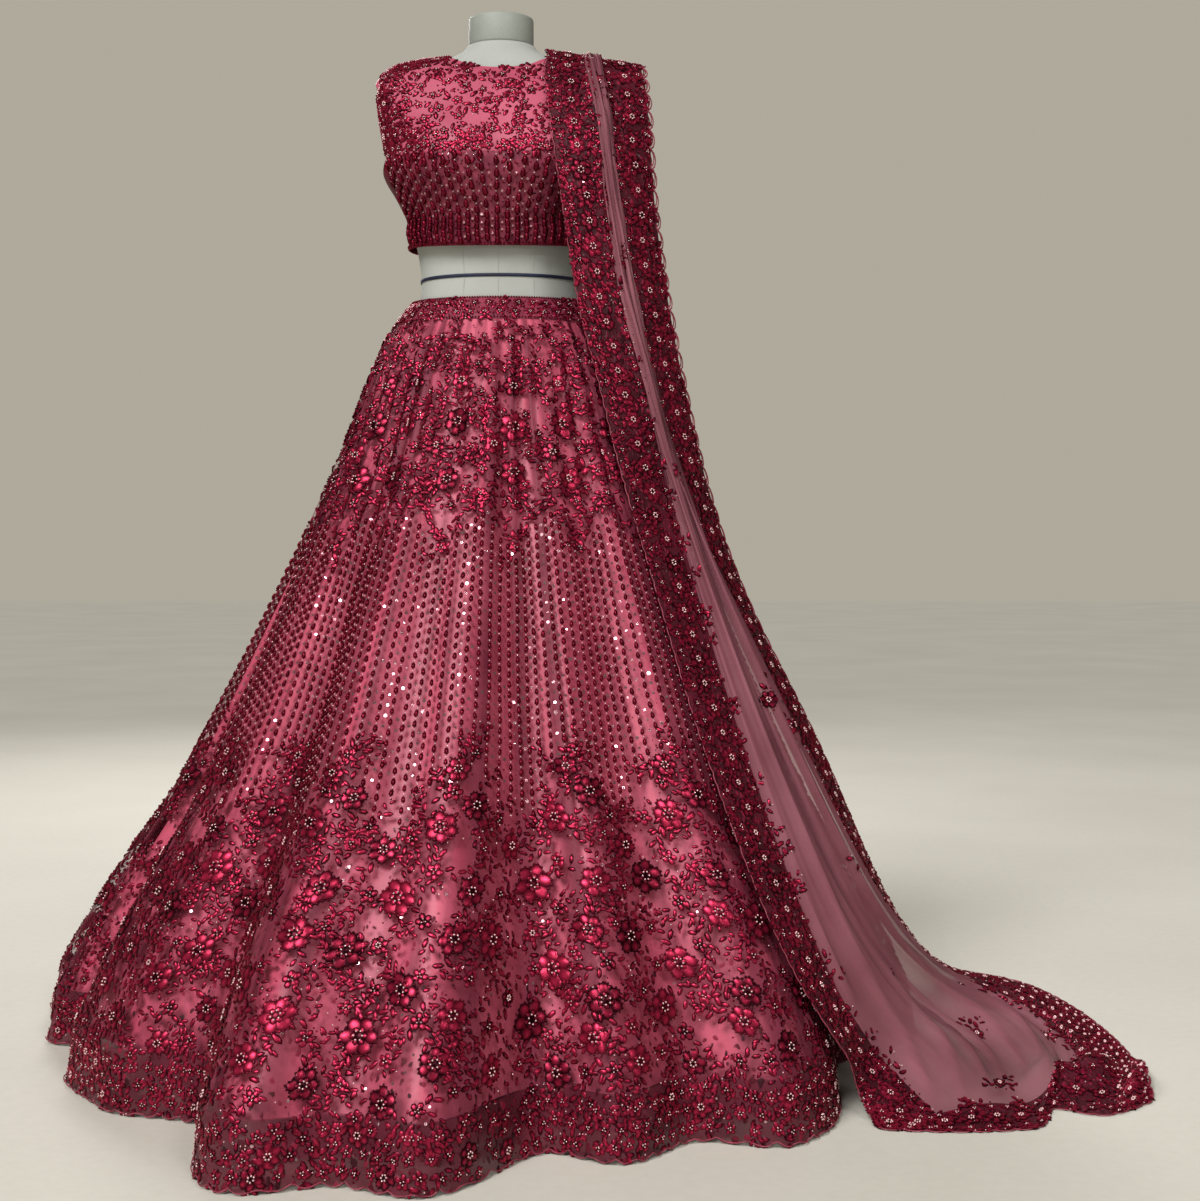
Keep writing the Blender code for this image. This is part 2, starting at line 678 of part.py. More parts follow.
def roll_lift(x, y):
    """The height of the roll that lies across the train's corner."""
    turn = math.radians(ROLL_AZIMUTH)
    away = np.array([x - ROLL_PLACE[0], y - ROLL_PLACE[1]])
    along = away @ np.array([math.sin(turn), -math.cos(turn)])
    across = away @ np.array([math.cos(turn), math.sin(turn)])
    return ROLL_HEIGHT * math.exp(-((across / ROLL_HALF_WIDTH) ** 2) - (along / ROLL_HALF_LENGTH) ** 4)


def dupatta_grid():
    """The dupatta's outer points [row, column] over the whole length."""
    rows = eased_rows([section[1:] for section in DUPATTA_SECTIONS], ROWS_PER_SECTION)
    last = len(rows) - 1
    grid = np.array(
        [
            section_points(row, NOTCH_DEPTH * max(0.0, 1 - (last - index) / (2 * ROWS_PER_SECTION)))
            for index, row in enumerate(rows)
        ]
    )
    normals = outward_normals(grid, False, (0.1, 0.0, 0.4))
    grid += normals * (rows[:, 7, None] * fold_shape()[None, :])[:, :, None]
    lay_on_the_figure(grid)
    for _ in range(SMOOTHINGS):
        grid[1:-1] = grid[1:-1] / 2 + (grid[:-2] + grid[2:]) / 4
    lay_on_the_figure(grid)
    for point in grid.reshape(-1, 3):
        point[2] += roll_lift(point[0], point[1]) if point[2] < ROLL_HEIGHT else 0.0
    grid[:, :, 2] = np.maximum(grid[:, :, 2], DUPATTA_WALL)
    return grid


def lay_on_the_figure(grid):
    """Moves the points that are too near to the form, the choli or the skirt outwards."""
    choli = surface_of(choli_grid())
    form = surface_of(np.array([form_ring(section[0]) for section in FORM_SECTIONS]))
    for point in grid.reshape(-1, 3):
        if point[2] > CHOLI_RINGS[0][1]:
            point[:] = lifted_off(point, choli, CHOLI_CLEARANCE + DUPATTA_WALL)
            point[:] = lifted_off(point, form, FORM_CLEARANCE + DUPATTA_WALL)
        if point[2] < SKIRT_LEVELS[0][0]:
            least = skirt_reach(point[0], point[1], point[2]) + SKIRT_CLEARANCE
            distance = math.hypot(point[0], point[1])
            if distance < least:
                point[:2] *= least / distance


def build_dupatta(border_cloth, net):
    outer = dupatta_grid()
    inner = inner_side(outer, DUPATTA_WALL, centre=(0.1, 0.0, 0.4))
    inner[:, :, 2] = np.maximum(inner[:, :, 2], 0.0)
    last_row, last_column = outer.shape[0] - 1, outer.shape[1] - 1
    names = [section[0] for section in DUPATTA_SECTIONS]
    first_rows = {name: names.index(name) * ROWS_PER_SECTION for name in names}
    stretches = [
        ("back", BACK_END_ROWS, first_rows["shoulder"]),
        ("shoulder", first_rows["shoulder"], first_rows["front"]),
        ("front", first_rows["front"], first_rows["train"]),
        ("train", first_rows["train"], last_row - TRAIN_END_ROWS),
    ]
    bands = [
        ("inner_border", 0, BORDER_COLUMNS, border_cloth),
        ("net", BORDER_COLUMNS, last_column - BORDER_COLUMNS, net),
        ("outer_border", last_column - BORDER_COLUMNS, last_column, border_cloth),
    ]

    def piece(name, top, bottom, left, right, finish):
        sides = []
        for grid in (outer, inner):
            part = grid[top : bottom + 1, left : right + 1]
            part = pulled_in(part, left > 0, right < last_column, DUPATTA_SEAM_GAP)
            turned_part = part.transpose(1, 0, 2)
            turned_part = pulled_in(turned_part, top > 0, bottom < last_row, DUPATTA_SEAM_GAP)
            sides.append(turned_part.transpose(1, 0, 2))
        wall(name, sides[0], sides[1], finish)

    for stretch, top, bottom in stretches:
        for band, left, right, finish in bands:
            piece(f"dupatta_{stretch}_{band}", top, bottom, left, right, finish)
    piece("dupatta_back_end_border", 0, BACK_END_ROWS, 0, last_column, border_cloth)
    piece("dupatta_train_end_border", last_row - TRAIN_END_ROWS, last_row, 0, last_column, border_cloth)


def main():
    for existing in list(bpy.data.objects):
        bpy.data.objects.remove(existing)
    cover = material("form_canvas", (0.68, 0.68, 0.64), 0.85)
    cap_paint = material("neck_cap_paint", (0.40, 0.41, 0.37), 0.60)
    tape_cloth = material("navy_tape", (0.010, 0.014, 0.045), 0.70)
    steel = material("stand_steel", (0.55, 0.55, 0.56), 0.30, 1.0)
    iron = material("stand_iron", (0.05, 0.05, 0.052), 0.55, 0.6)
    embroidery = material("embroidered_net", (0.36, 0.05, 0.09), 0.55)
    satin = material("pink_satin", (0.62, 0.12, 0.19), 0.40)
    sheer = material("sheer_net", (0.36, 0.14, 0.18), 0.60)
    build_form(cover, cap_paint, tape_cloth, steel, iron)
    build_choli(embroidery)
    build_skirt(embroidery, embroidery, satin)
    build_dupatta(embroidery, sheer)


main()
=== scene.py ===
# %% [markdown]
# # An embroidered lehenga set on a dress form
#
# The object is three garments on a padded form: a floor-length skirt of beaded net over pink satin,
# a cropped choli, and a sheer dupatta that falls over one shoulder and runs out along the floor.
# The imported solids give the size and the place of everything. This script gives each of them its cloth,
# its folds and its bead work, and then sets the floor, the lights and the camera.

import math

import bmesh
import bpy
import numpy as np
from mathutils import Matrix, Vector
from mathutils.bvhtree import BVHTree


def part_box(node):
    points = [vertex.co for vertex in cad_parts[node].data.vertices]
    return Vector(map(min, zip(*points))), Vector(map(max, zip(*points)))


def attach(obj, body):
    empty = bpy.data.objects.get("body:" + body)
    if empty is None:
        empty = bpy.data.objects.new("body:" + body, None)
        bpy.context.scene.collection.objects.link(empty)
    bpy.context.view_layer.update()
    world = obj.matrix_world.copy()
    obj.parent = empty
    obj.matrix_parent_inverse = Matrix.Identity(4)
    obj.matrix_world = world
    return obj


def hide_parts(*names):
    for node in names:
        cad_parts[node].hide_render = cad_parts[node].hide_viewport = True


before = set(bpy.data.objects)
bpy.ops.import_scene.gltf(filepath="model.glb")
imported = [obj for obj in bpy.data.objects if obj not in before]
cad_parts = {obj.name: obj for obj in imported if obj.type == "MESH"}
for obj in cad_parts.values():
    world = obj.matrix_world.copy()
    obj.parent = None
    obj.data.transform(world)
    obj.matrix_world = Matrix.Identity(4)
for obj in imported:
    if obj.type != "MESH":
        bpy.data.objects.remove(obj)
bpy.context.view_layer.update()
chance = np.random.default_rng(27)
print("nodes in the frame:", len(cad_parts))

# %% [markdown]
# ## The tables the garments are cut from
#
# A dressmaker works from a few measurements at named levels. The same levels that shape the solids
# are repeated here, because the fine cloth has to lie on the very same surfaces.

# %% Measurements of the form
# height, half_width, front_depth, back_depth, squareness
FORM_SECTIONS = [
    (0.885, 0.150, 0.100, 0.105, 2.2),
    (0.930, 0.170, 0.115, 0.125, 2.2),
    (0.970, 0.172, 0.118, 0.128, 2.2),
    (1.030, 0.157, 0.108, 0.115, 2.1),
    (1.090, 0.137, 0.098, 0.100, 2.1),
    (1.140, 0.1255, 0.092, 0.0925, 2.1),
    (1.170, 0.1225, 0.090, 0.090, 2.1),
    (1.210, 0.127, 0.094, 0.092, 2.1),
    (1.260, 0.139, 0.103, 0.096, 2.1),
    (1.300, 0.150, 0.115, 0.099, 2.2),
    (1.335, 0.158, 0.127, 0.101, 2.3),
    (1.370, 0.163, 0.120, 0.103, 2.4),
    (1.405, 0.166, 0.106, 0.103, 2.5),
    (1.440, 0.165, 0.092, 0.098, 2.5),
    (1.468, 0.156, 0.075, 0.086, 2.4),
    (1.488, 0.134, 0.064, 0.074, 2.2),
    (1.503, 0.092, 0.056, 0.062, 2.0),
    (1.516, 0.062, 0.053, 0.058, 2.0),
    (1.5265, 0.0525, 0.050, 0.053, 2.0),
]
NECK_CAP_HEIGHT = 0.044
NECK_CAP_HALF_WIDTH = 0.0495
NECK_CAP_HALF_DEPTH = 0.0475
TAPE_HEIGHT = 1.170

# %% Measurements of the choli
# side_x, side_z, front_y, front_z, back_y, back_z, squareness
CHOLI_RINGS = [
    (0.1390, 1.219, 0.110, 1.210, 0.100, 1.221, 2.1),
    (0.1450, 1.240, 0.114, 1.232, 0.102, 1.242, 2.1),
    (0.1440, 1.261, 0.120, 1.255, 0.105, 1.264, 2.1),
    (0.1600, 1.295, 0.133, 1.290, 0.110, 1.296, 2.2),
    (0.1800, 1.332, 0.142, 1.326, 0.113, 1.334, 2.3),
    (0.1850, 1.375, 0.137, 1.366, 0.115, 1.380, 2.4),
    (0.1930, 1.430, 0.117, 1.412, 0.112, 1.436, 2.4),
    (0.1920, 1.470, 0.102, 1.440, 0.103, 1.474, 2.3),
    (0.1650, 1.496, 0.094, 1.456, 0.092, 1.499, 2.2),
    (0.1240, 1.5065, 0.086, 1.468, 0.079, 1.515, 2.1),
    (0.0850, 1.5115, 0.078, 1.479, 0.0645, 1.528, 2.0),
]
CHOLI_COLUMNS = 40
CHOLI_SAG = 1.5
CHOLI_WALL = 0.0020
FORM_CLEARANCE = 0.0012
BUST_CUP = 0.010
BUST_CUP_OFFSET = 0.078
BUST_CUP_HEIGHT = 1.335
BUST_CUP_SPREAD = 0.050
ARMHOLE = (4, 5, 6)
ARMHOLE_REACH = 2

# %% Measurements of the skirt
# height, mean_radius, flute_share, depth_ratio, gather_depth
SKIRT_LEVELS = [
    (1.1030, 0.1630, 0.00, 0.74, 0.0008),
    (1.0800, 0.1765, 0.02, 0.79, 0.0032),
    (1.0150, 0.2010, 0.08, 0.87, 0.0036),
    (0.9150, 0.2330, 0.14, 0.92, 0.0036),
    (0.7600, 0.2960, 0.26, 0.95, 0.0026),
    (0.5700, 0.3750, 0.45, 0.98, 0.0008),
    (0.3900, 0.4580, 0.60, 1.00, 0.0),
    (0.2200, 0.5540, 0.80, 1.00, 0.0),
    (0.0850, 0.6180, 0.96, 1.00, 0.0),
    (0.0, 0.6300, 1.00, 1.00, 0.0),
]
# azimuth, radius
HEM_FOLDS = [
    (-104, 0.780),
    (-96, 0.660),
    (-89, 0.705),
    (-82, 0.612),
    (-70, 0.652),
    (-57, 0.634),
    (-43, 0.565),
    (-24, 0.728),
    (-14, 0.664),
    (-6, 0.685),
    (9, 0.532),
    (18, 0.595),
    (29, 0.555),
    (39, 0.640),
    (72, 0.520),
    (95, 0.650),
    (112, 0.575),
    (128, 0.680),
    (146, 0.570),
    (162, 0.660),
    (178, 0.560),
    (196, 0.670),
    (212, 0.580),
    (226, 0.690),
    (241, 0.620),
]
GORES = 18
FIRST_SEAM = -3.3
GATHERS = 48
BAND_HEIGHT = 0.034
BAND_TOP_HALF_WIDTH = 0.1355
BAND_TOP_DEPTH = 0.0951
LINING_HEM = 0.0780

# %% Measurements of the dupatta
# stretch, inner_x, inner_y, inner_z, outer_x, outer_y, outer_z, bulge, fold
DUPATTA_SECTIONS = [
    ("back", 0.028, 0.372, 0.640, 0.318, 0.262, 0.610, 0.040, 0.016),
    ("back", 0.032, 0.318, 0.765, 0.290, 0.218, 0.740, 0.036, 0.016),
    ("back", 0.038, 0.262, 0.890, 0.268, 0.176, 0.865, 0.030, 0.014),
    ("back", 0.046, 0.208, 1.010, 0.250, 0.140, 0.985, 0.022, 0.011),
    ("back", 0.056, 0.170, 1.130, 0.240, 0.118, 1.105, 0.016, 0.008),
    ("back", 0.068, 0.152, 1.260, 0.231, 0.104, 1.235, 0.012, 0.006),
    ("shoulder", 0.078, 0.142, 1.380, 0.226, 0.094, 1.365, 0.010, 0.005),
    ("shoulder", 0.084, 0.104, 1.488, 0.220, 0.074, 1.460, 0.004, 0.003),
    ("shoulder", 0.072, 0.040, 1.533, 0.212, 0.020, 1.506, 0.002, 0.002),
    ("shoulder", 0.066, -0.040, 1.514, 0.212, -0.030, 1.494, 0.005, 0.003),
    ("shoulder", 0.073, -0.112, 1.445, 0.221, -0.064, 1.440, 0.010, 0.004),
    ("front", 0.084, -0.146, 1.363, 0.226, -0.076, 1.368, 0.010, 0.005),
    ("front", 0.094, -0.156, 1.290, 0.230, -0.076, 1.296, 0.010, 0.006),
    ("front", 0.108, -0.152, 1.200, 0.241, -0.072, 1.205, 0.010, 0.007),
    ("front", 0.122, -0.148, 1.105, 0.257, -0.064, 1.110, 0.010, 0.009),
    ("front", 0.150, -0.152, 1.015, 0.275, -0.055, 1.020, 0.011, 0.011),
    ("front", 0.172, -0.164, 0.910, 0.299, -0.043, 0.914, 0.012, 0.014),
    ("front", 0.205, -0.202, 0.795, 0.334, -0.026, 0.790, 0.012, 0.017),
    ("front", 0.242, -0.250, 0.670, 0.388, -0.022, 0.655, 0.014, 0.020),
    ("front", 0.276, -0.290, 0.545, 0.458, -0.026, 0.525, 0.016, 0.022),
    ("front", 0.314, -0.330, 0.435, 0.516, -0.018, 0.400, 0.020, 0.023),
    ("front", 0.350, -0.372, 0.335, 0.564, 0.014, 0.290, 0.026, 0.024),
    ("train", 0.388, -0.402, 0.245, 0.622, 0.080, 0.180, 0.034, 0.026),
    ("train", 0.424, -0.406, 0.170, 0.696, 0.240, 0.085, 0.046, 0.028),
    ("train", 0.456, -0.394, 0.108, 0.772, 0.372, 0.014, 0.060, 0.030),
    ("train", 0.480, -0.378, 0.066, 0.864, 0.396, 0.003, 0.066, 0.028),
    ("train", 0.496, -0.372, 0.038, 0.922, 0.270, 0.0, 0.070, 0.024),
    ("train", 0.507, -0.380, 0.018, 0.947, 0.080, 0.0, 0.074, 0.018),
    ("train", 0.514, -0.398, 0.006, 0.950, -0.115, 0.0, 0.066, 0.008),
    ("train", 0.519, -0.430, 0.0, 0.914, -0.314, 0.0, 0.056, 0.0),
]
ROWS_PER_SECTION = 2
SIDE_BORDER = 0.088
SIDE_BORDER_MOST = 0.44
BORDER_COLUMNS = 3
NET_FOLD_SHAPE = (0.0, 0.5, 1.0, 0.8, 0.15, 0.0, 0.7, 0.95, 0.3, 0.0, 0.3, 0.15, 0.0)
NET_COLUMNS = len(NET_FOLD_SHAPE) - 1
DUPATTA_WALL = 0.0014
CHOLI_CLEARANCE = 0.0050
SKIRT_CLEARANCE = 0.0050
REACH_SPREAD = 6.0
SMOOTHINGS = 2
ROLL_PLACE = (0.850, -0.235)
ROLL_HEIGHT = 0.034
ROLL_HALF_WIDTH = 0.034
ROLL_HALF_LENGTH = 0.110
ROLL_AZIMUTH = 112
NOTCH_PLACE = 0.64
NOTCH_HALF_WIDTH = 0.080
NOTCH_DEPTH = 0.062

# %% [markdown]
# ## Finishes
#
# Bead work is mostly gloss: wine-red glass, crimson foiled petals and a few pale beads and sequins. Satin
# and net are soft. Each finish is a Principled shader, and what several of them share, a fine thread grain
# and a pattern of small stitched leaves, is a node group with its own values in each material.


# %% Wiring for nodes
class Wiring:
    """Adds nodes to a tree. Each input is fed a plain value, or the output of another node."""

    def __init__(self, tree):
        self.tree = tree
        self.nodes = tree.nodes

    def feed(self, node, inputs):
        for label, source in inputs.items():
            if isinstance(source, bpy.types.NodeSocket):
                self.tree.links.new(source, node.inputs[label])
            else:
                node.inputs[label].default_value = source

    def add(self, kind, inputs, **settings):
        """A new node of a kind. Its settings are made before its inputs are fed."""
        node = self.nodes.new("ShaderNode" + kind)
        for name, value in settings.items():
            setattr(node, name, value)
        self.feed(node, inputs)
        return node

    def math(self, operation, *values):
        """The result of a math node on numbers and outputs."""
        return self.add("Math", dict(enumerate(values)), operation=operation).outputs[0]

    def ramp(self, share, dark, light, ends):
        """A ramp between two colours, which it reaches at its ends."""
        node = self.add("ValToRGB", {"Fac": share})
        for element, position, colour in zip(node.color_ramp.elements, ends, (dark, light)):
            element.position = position
            element.color = (*colour, 1.0)
        return node

    def attribute(self, name):
        """The values that a mesh carries under a name."""
        return self.add("Attribute", {}, attribute_name=name).outputs["Fac"]


# %% Node groups for thread and for stitches
THREAD_SHARE = 0.35
STITCH_EDGE = 0.14
LEAF_BEND = 0.02
LEAF_SQUASH = 0.55


def make_group(name, inputs, results, build):
    """A node group of float sockets. build gets its wiring and inputs, and gives its results."""
    group = bpy.data.node_groups.new(name, "ShaderNodeTree")
    for in_out, labels in (("INPUT", inputs), ("OUTPUT", results)):
        for label in labels:
            group.interface.new_socket(label, in_out=in_out, socket_type="NodeSocketFloat")
    wiring = Wiring(group)
    given = wiring.nodes.new("NodeGroupInput").outputs
    wiring.feed(wiring.nodes.new("NodeGroupOutput"), build(wiring, given))
    return group


def build_thread(wiring, given):
    """A tone from 0 to 1 and a height, both from the cloth's own place in space."""
    place = wiring.add("TexCoord", {}).outputs["Object"]
    thread, cloud = (
        wiring.add("TexNoise", {"Vector": place, "Scale": given[size], "Detail": 3.0}).outputs["Fac"]
        for size in ("Thread Size", "Cloud Size")
    )
    most = wiring.math("MULTIPLY", cloud, 1 - THREAD_SHARE)
    return {"Tone": wiring.math("MULTIPLY_ADD", thread, THREAD_SHARE, most), "Height": thread}


def build_stitches(wiring, given):
    """Small stitched leaves between the sewn ones: where they are, their tone and their height."""
    place = wiring.add("TexCoord", {}).outputs["Object"]
    wander = wiring.add("TexNoise", {"Vector": place, "Scale": 45.0}).outputs["Color"]
    bent = wiring.add("VectorMath", {0: wander, 1: (LEAF_BEND,) * 3, 2: place}, operation="MULTIPLY_ADD")
    squashed = {0: bent.outputs["Vector"], 1: (1.0, 1.0, LEAF_SQUASH)}
    leaves = wiring.add("VectorMath", squashed, operation="MULTIPLY").outputs["Vector"]
    cells = wiring.add("TexVoronoi", {"Vector": leaves, "Scale": given["Size"]}).outputs
    least = wiring.math("SUBTRACT", given["Amount"], STITCH_EDGE)
    limits = {"Value": cells["Distance"], "From Min": given["Amount"], "From Max": least}
    return {
        "Mask": wiring.add("MapRange", limits).outputs["Result"],
        "Tone": wiring.add("SeparateColor", {"Color": cells["Color"]}).outputs["Red"],
        "Height": wiring.math("SUBTRACT", 1.0, cells["Distance"]),
    }


THREAD = make_group("thread", ("Thread Size", "Cloud Size"), ("Tone", "Height"), build_thread)
STITCHES = make_group("stitches", ("Size", "Amount"), ("Mask", "Tone", "Height"), build_stitches)
print("groups:", THREAD.name, STITCHES.name)

# %% Functions for every finish
GRAIN_DEPTH = 0.0006
STITCH_DEPTH = 0.002


def finish(name, dark, light, roughness, thread=900.0, cloud=9.0, bump=0.2, **shader_values):
    """A material between two colours, with the thread's grain in its bump. Returns it."""
    made = bpy.data.materials.new(name)
    made.use_nodes = True
    wiring = Wiring(made.node_tree)
    grain = wiring.add("Group", {"Thread Size": thread, "Cloud Size": cloud}, node_tree=THREAD).outputs
    ramp = wiring.ramp(grain["Tone"], dark, light, (0.35, 0.65))
    ramp.name = "colour"
    height = wiring.add("Bump", {"Strength": bump, "Distance": GRAIN_DEPTH, "Height": grain["Height"]})
    values = {"Base Color": ramp.outputs["Color"], "Normal": height.outputs["Normal"]}
    values["Roughness"] = roughness
    values.update((label.replace("_", " "), value) for label, value in shader_values.items())
    wiring.feed(wiring.nodes["Principled BSDF"], values)
    return made


def toned(made):
    """Takes a material's colour from the tone of each bead or petal, painted shade and highlight included.
    """
    wiring = Wiring(made.node_tree)
    ramp = wiring.nodes["colour"]
    for element, position in zip(ramp.color_ramp.elements, (0.10, 1.0)):
        element.position = position
    wiring.feed(ramp, {"Fac": wiring.attribute("tone")})
    return made


def seen_through(made, least, most):
    """Makes a net sheer: its cover is least in single cloth and most where it doubles or turns away."""
    wiring = Wiring(made.node_tree)
    slanted = wiring.math("POWER", wiring.add("LayerWeight", {"Blend": 0.35}).outputs["Facing"], 2.0)
    limits = {"Value": wiring.attribute("cover"), "To Min": least, "To Max": most}
    cover = wiring.add("MapRange", limits).outputs["Result"]
    wiring.feed(wiring.nodes["Principled BSDF"], {"Alpha": wiring.math("MAXIMUM", cover, slanted)})


def stitched(made, dark, light, size, amount):
    """Adds stitched leaves to a cloth, as many as its attribute work asks for."""
    wiring = Wiring(made.node_tree)
    shader = wiring.nodes["Principled BSDF"]
    share = wiring.math("MULTIPLY", wiring.attribute("work"), amount)
    leaves = wiring.add("Group", {"Size": size, "Amount": share}, node_tree=STITCHES).outputs
    ramp = wiring.ramp(leaves["Tone"], dark, light, (0.1, 0.9))
    colours = {"A": wiring.nodes["colour"].outputs["Color"], "B": ramp.outputs["Color"]}
    mix = wiring.add("Mix", {"Factor": leaves["Mask"], **colours}, data_type="RGBA")
    raised = wiring.math("MULTIPLY", leaves["Mask"], leaves["Height"])
    grain = shader.inputs["Normal"].links[0].from_socket
    relief = {"Strength": 0.7, "Distance": STITCH_DEPTH, "Height": raised, "Normal": grain}
    height = wiring.add("Bump", relief)
    wiring.feed(shader, {"Base Color": mix.outputs["Result"], "Normal": height.outputs["Normal"]})
    if shader.inputs["Alpha"].is_linked:
        net = shader.inputs["Alpha"].links[0].from_socket
        wiring.feed(shader, {"Alpha": wiring.math("MAXIMUM", net, leaves["Mask"])})


# %% Cloth finishes
# name, dark, light, roughness, thread, cloud, bump, specular level
CLOTH_FINISHES = [
    ("pink_satin", (0.54, 0.072, 0.130), (0.80, 0.150, 0.235), 0.38, 1400, 6, 0.12, 0.30),
    ("choli_satin", (0.43, 0.066, 0.118), (0.61, 0.130, 0.200), 0.42, 1400, 9, 0.12, 0.25),
    ("beaded_satin", (0.130, 0.014, 0.032), (0.330, 0.050, 0.088), 0.40, 1400, 60, 0.20, 0.22),
    ("rose_net", (0.120, 0.012, 0.028), (0.290, 0.046, 0.080), 0.55, 1500, 12, 0.20, 0.22),
    # The next row is the skirt's net darkened, a painted shade of its dark inside below the lining.
    ("hem_net_painted_shade", (0.075, 0.007, 0.016), (0.190, 0.024, 0.046), 0.55, 1500, 14, 0.20, 0.22),
    ("mauve_net", (0.175, 0.046, 0.062), (0.330, 0.115, 0.145), 0.60, 1300, 5, 0.20, 0.22),
    ("border_net", (0.034, 0.003, 0.007), (0.105, 0.010, 0.022), 0.50, 1200, 16, 0.30, 0.22),
    ("wine_crepe", (0.080, 0.003, 0.012), (0.160, 0.010, 0.028), 0.42, 900, 10, 0.25, 0.22),
]
satin, yoke_satin, bead_satin, skirt_net, hem_net_painted_shade, mauve_net, border_net, side_cloth = (
    finish(*row[:-1], Specular_IOR_Level=row[-1]) for row in CLOTH_FINISHES
)
seen_through(skirt_net, 0.06, 0.92)
# The hem's denser cover is part of its painted shade.
seen_through(hem_net_painted_shade, 0.66, 0.92)
seen_through(mauve_net, 0.70, 0.98)

WINE_DARK, WINE_LIGHT = (0.030, 0.0005, 0.004), (0.22, 0.008, 0.030)
# cloth, light thread, leaves in a metre, amount of leaves
STITCHED_CLOTHS = [
    (yoke_satin, WINE_LIGHT, 110.0, 0.08),
    (bead_satin, WINE_LIGHT, 170.0, 0.28),
    (skirt_net, WINE_LIGHT, 90.0, 0.34),
    (hem_net_painted_shade, WINE_LIGHT, 90.0, 0.44),
    (border_net, (0.24, 0.010, 0.036), 120.0, 0.46),
]
for stitched_cloth, thread_colour, per_metre, amount in STITCHED_CLOTHS:
    stitched(stitched_cloth, WINE_DARK, thread_colour, per_metre, amount)

# %% Bead finishes
# name, dark, light, roughness, metallic share
BEAD_FINISHES = [
    ("wine_bead", (0.016, 0.0004, 0.002), (0.36, 0.013, 0.044), 0.20, 0.55),
    ("rose_petal", (0.014, 0.0003, 0.0018), (0.70, 0.032, 0.098), 0.26, 0.50),
    ("pale_bead", (0.85, 0.42, 0.44), (1.0, 0.80, 0.77), 0.16, 0.20),
    ("sequin_foil", (0.34, 0.05, 0.08), (0.95, 0.66, 0.70), 0.13, 0.90),
]
RED_GLINTS = {"Specular Tint": (1.0, 0.30, 0.40, 1.0), "Specular IOR Level": 0.35}
wine_bead, rose_petal, pale_bead, sequin_foil = (
    toned(finish(*row[:-1], Metallic=row[-1])) for row in BEAD_FINISHES
)
for red in (wine_bead, rose_petal):
    Wiring(red.node_tree).feed(red.node_tree.nodes["Principled BSDF"], RED_GLINTS)

# %% Finishes of the cord, the form and the stand
# name, dark, light, roughness, thread, cloud, bump
PLAIN_FINISHES = [
    ("rose_cord", (0.15, 0.010, 0.024), (0.36, 0.052, 0.088), 0.40, 2500, 60, 0.50),
    ("form_canvas", (0.38, 0.39, 0.355), (0.48, 0.49, 0.450), 0.85, 1600, 7, 0.35),
    ("neck_cap_paint", (0.29, 0.31, 0.27), (0.35, 0.37, 0.325), 0.55, 300, 14, 0.08),
    ("navy_tape", (0.003, 0.006, 0.020), (0.008, 0.015, 0.055), 0.60, 2600, 80, 0.50),
    ("stand_iron", (0.018, 0.018, 0.019), (0.05, 0.05, 0.052), 0.50, 260, 20, 0.40),
]
cord_thread, canvas, cap_paint, navy_tape, stand_iron = (finish(*row) for row in PLAIN_FINISHES)
STEEL = (0.42, 0.42, 0.43), (0.58, 0.58, 0.59)
stand_steel = finish("stand_steel", *STEEL, 0.30, 500, 30, 0.1, Metallic=1.0)
print("finishes:", len(bpy.data.materials))

# %% [markdown]
# ## A surface that cloth and beads share
#
# The cloth, and each bead sewn on it, need the same surface. A grid of points does this: the cloth is
# a Blender grid whose vertices are moved to the points, and a bead asks the grid for a place, the way
# up along the cloth and the way out of it. A Catmull-Rom curve between the points keeps folds round.


# %% Curves between rows of points
def eased(values, steps, wrapped=False):
    """The points of a smooth curve through rows of values, with some steps between rows."""
    values = np.asarray(values, float)
    if wrapped:
        padded = np.concatenate([values[-1:], values, values[:2]])
    else:
        padded = np.concatenate([2 * values[:1] - values[1:2], values, 2 * values[-1:] - values[-2:-1]])
    rows = []
    for index in range(len(padded) - 3):
        p0, p1, p2, p3 = padded[index : index + 4]
        for step in range(steps):
            t = step / steps
            bend = 2 * p0 - 5 * p1 + 4 * p2 - p3
            turn = 3 * p1 - p0 - 3 * p2 + p3
            rows.append(0.5 * (2 * p1 + (p2 - p0) * t + bend * t**2 + turn * t**3))
    if not wrapped:
        rows.append(values[-1])
    return np.array(rows)


def finer(points, row_steps, column_steps, wrapped=False):
    rows = eased(points, row_steps)
    return eased(rows.transpose(1, 0, 2), column_steps, wrapped).transpose(1, 0, 2)


# %% Reading tables and lines
def interpolated(table, place):
    """The values of a table's other columns at a place. Its first column rises."""
    places, *columns = np.array(table, float).T
    return [np.interp(place, places, column) for column in columns]


def evenly(count):
    """This many azimuths round a circle, in degrees."""
    return np.linspace(0, 360, count, endpoint=False)


def lengths_along(line):
    """How far along a line each of its points is."""
    return np.concatenate([[0], np.cumsum(np.linalg.norm(np.diff(line, axis=0), axis=1))])


def unit(vectors):
    return vectors / np.maximum(np.linalg.norm(vectors, axis=-1, keepdims=True), 1e-12)


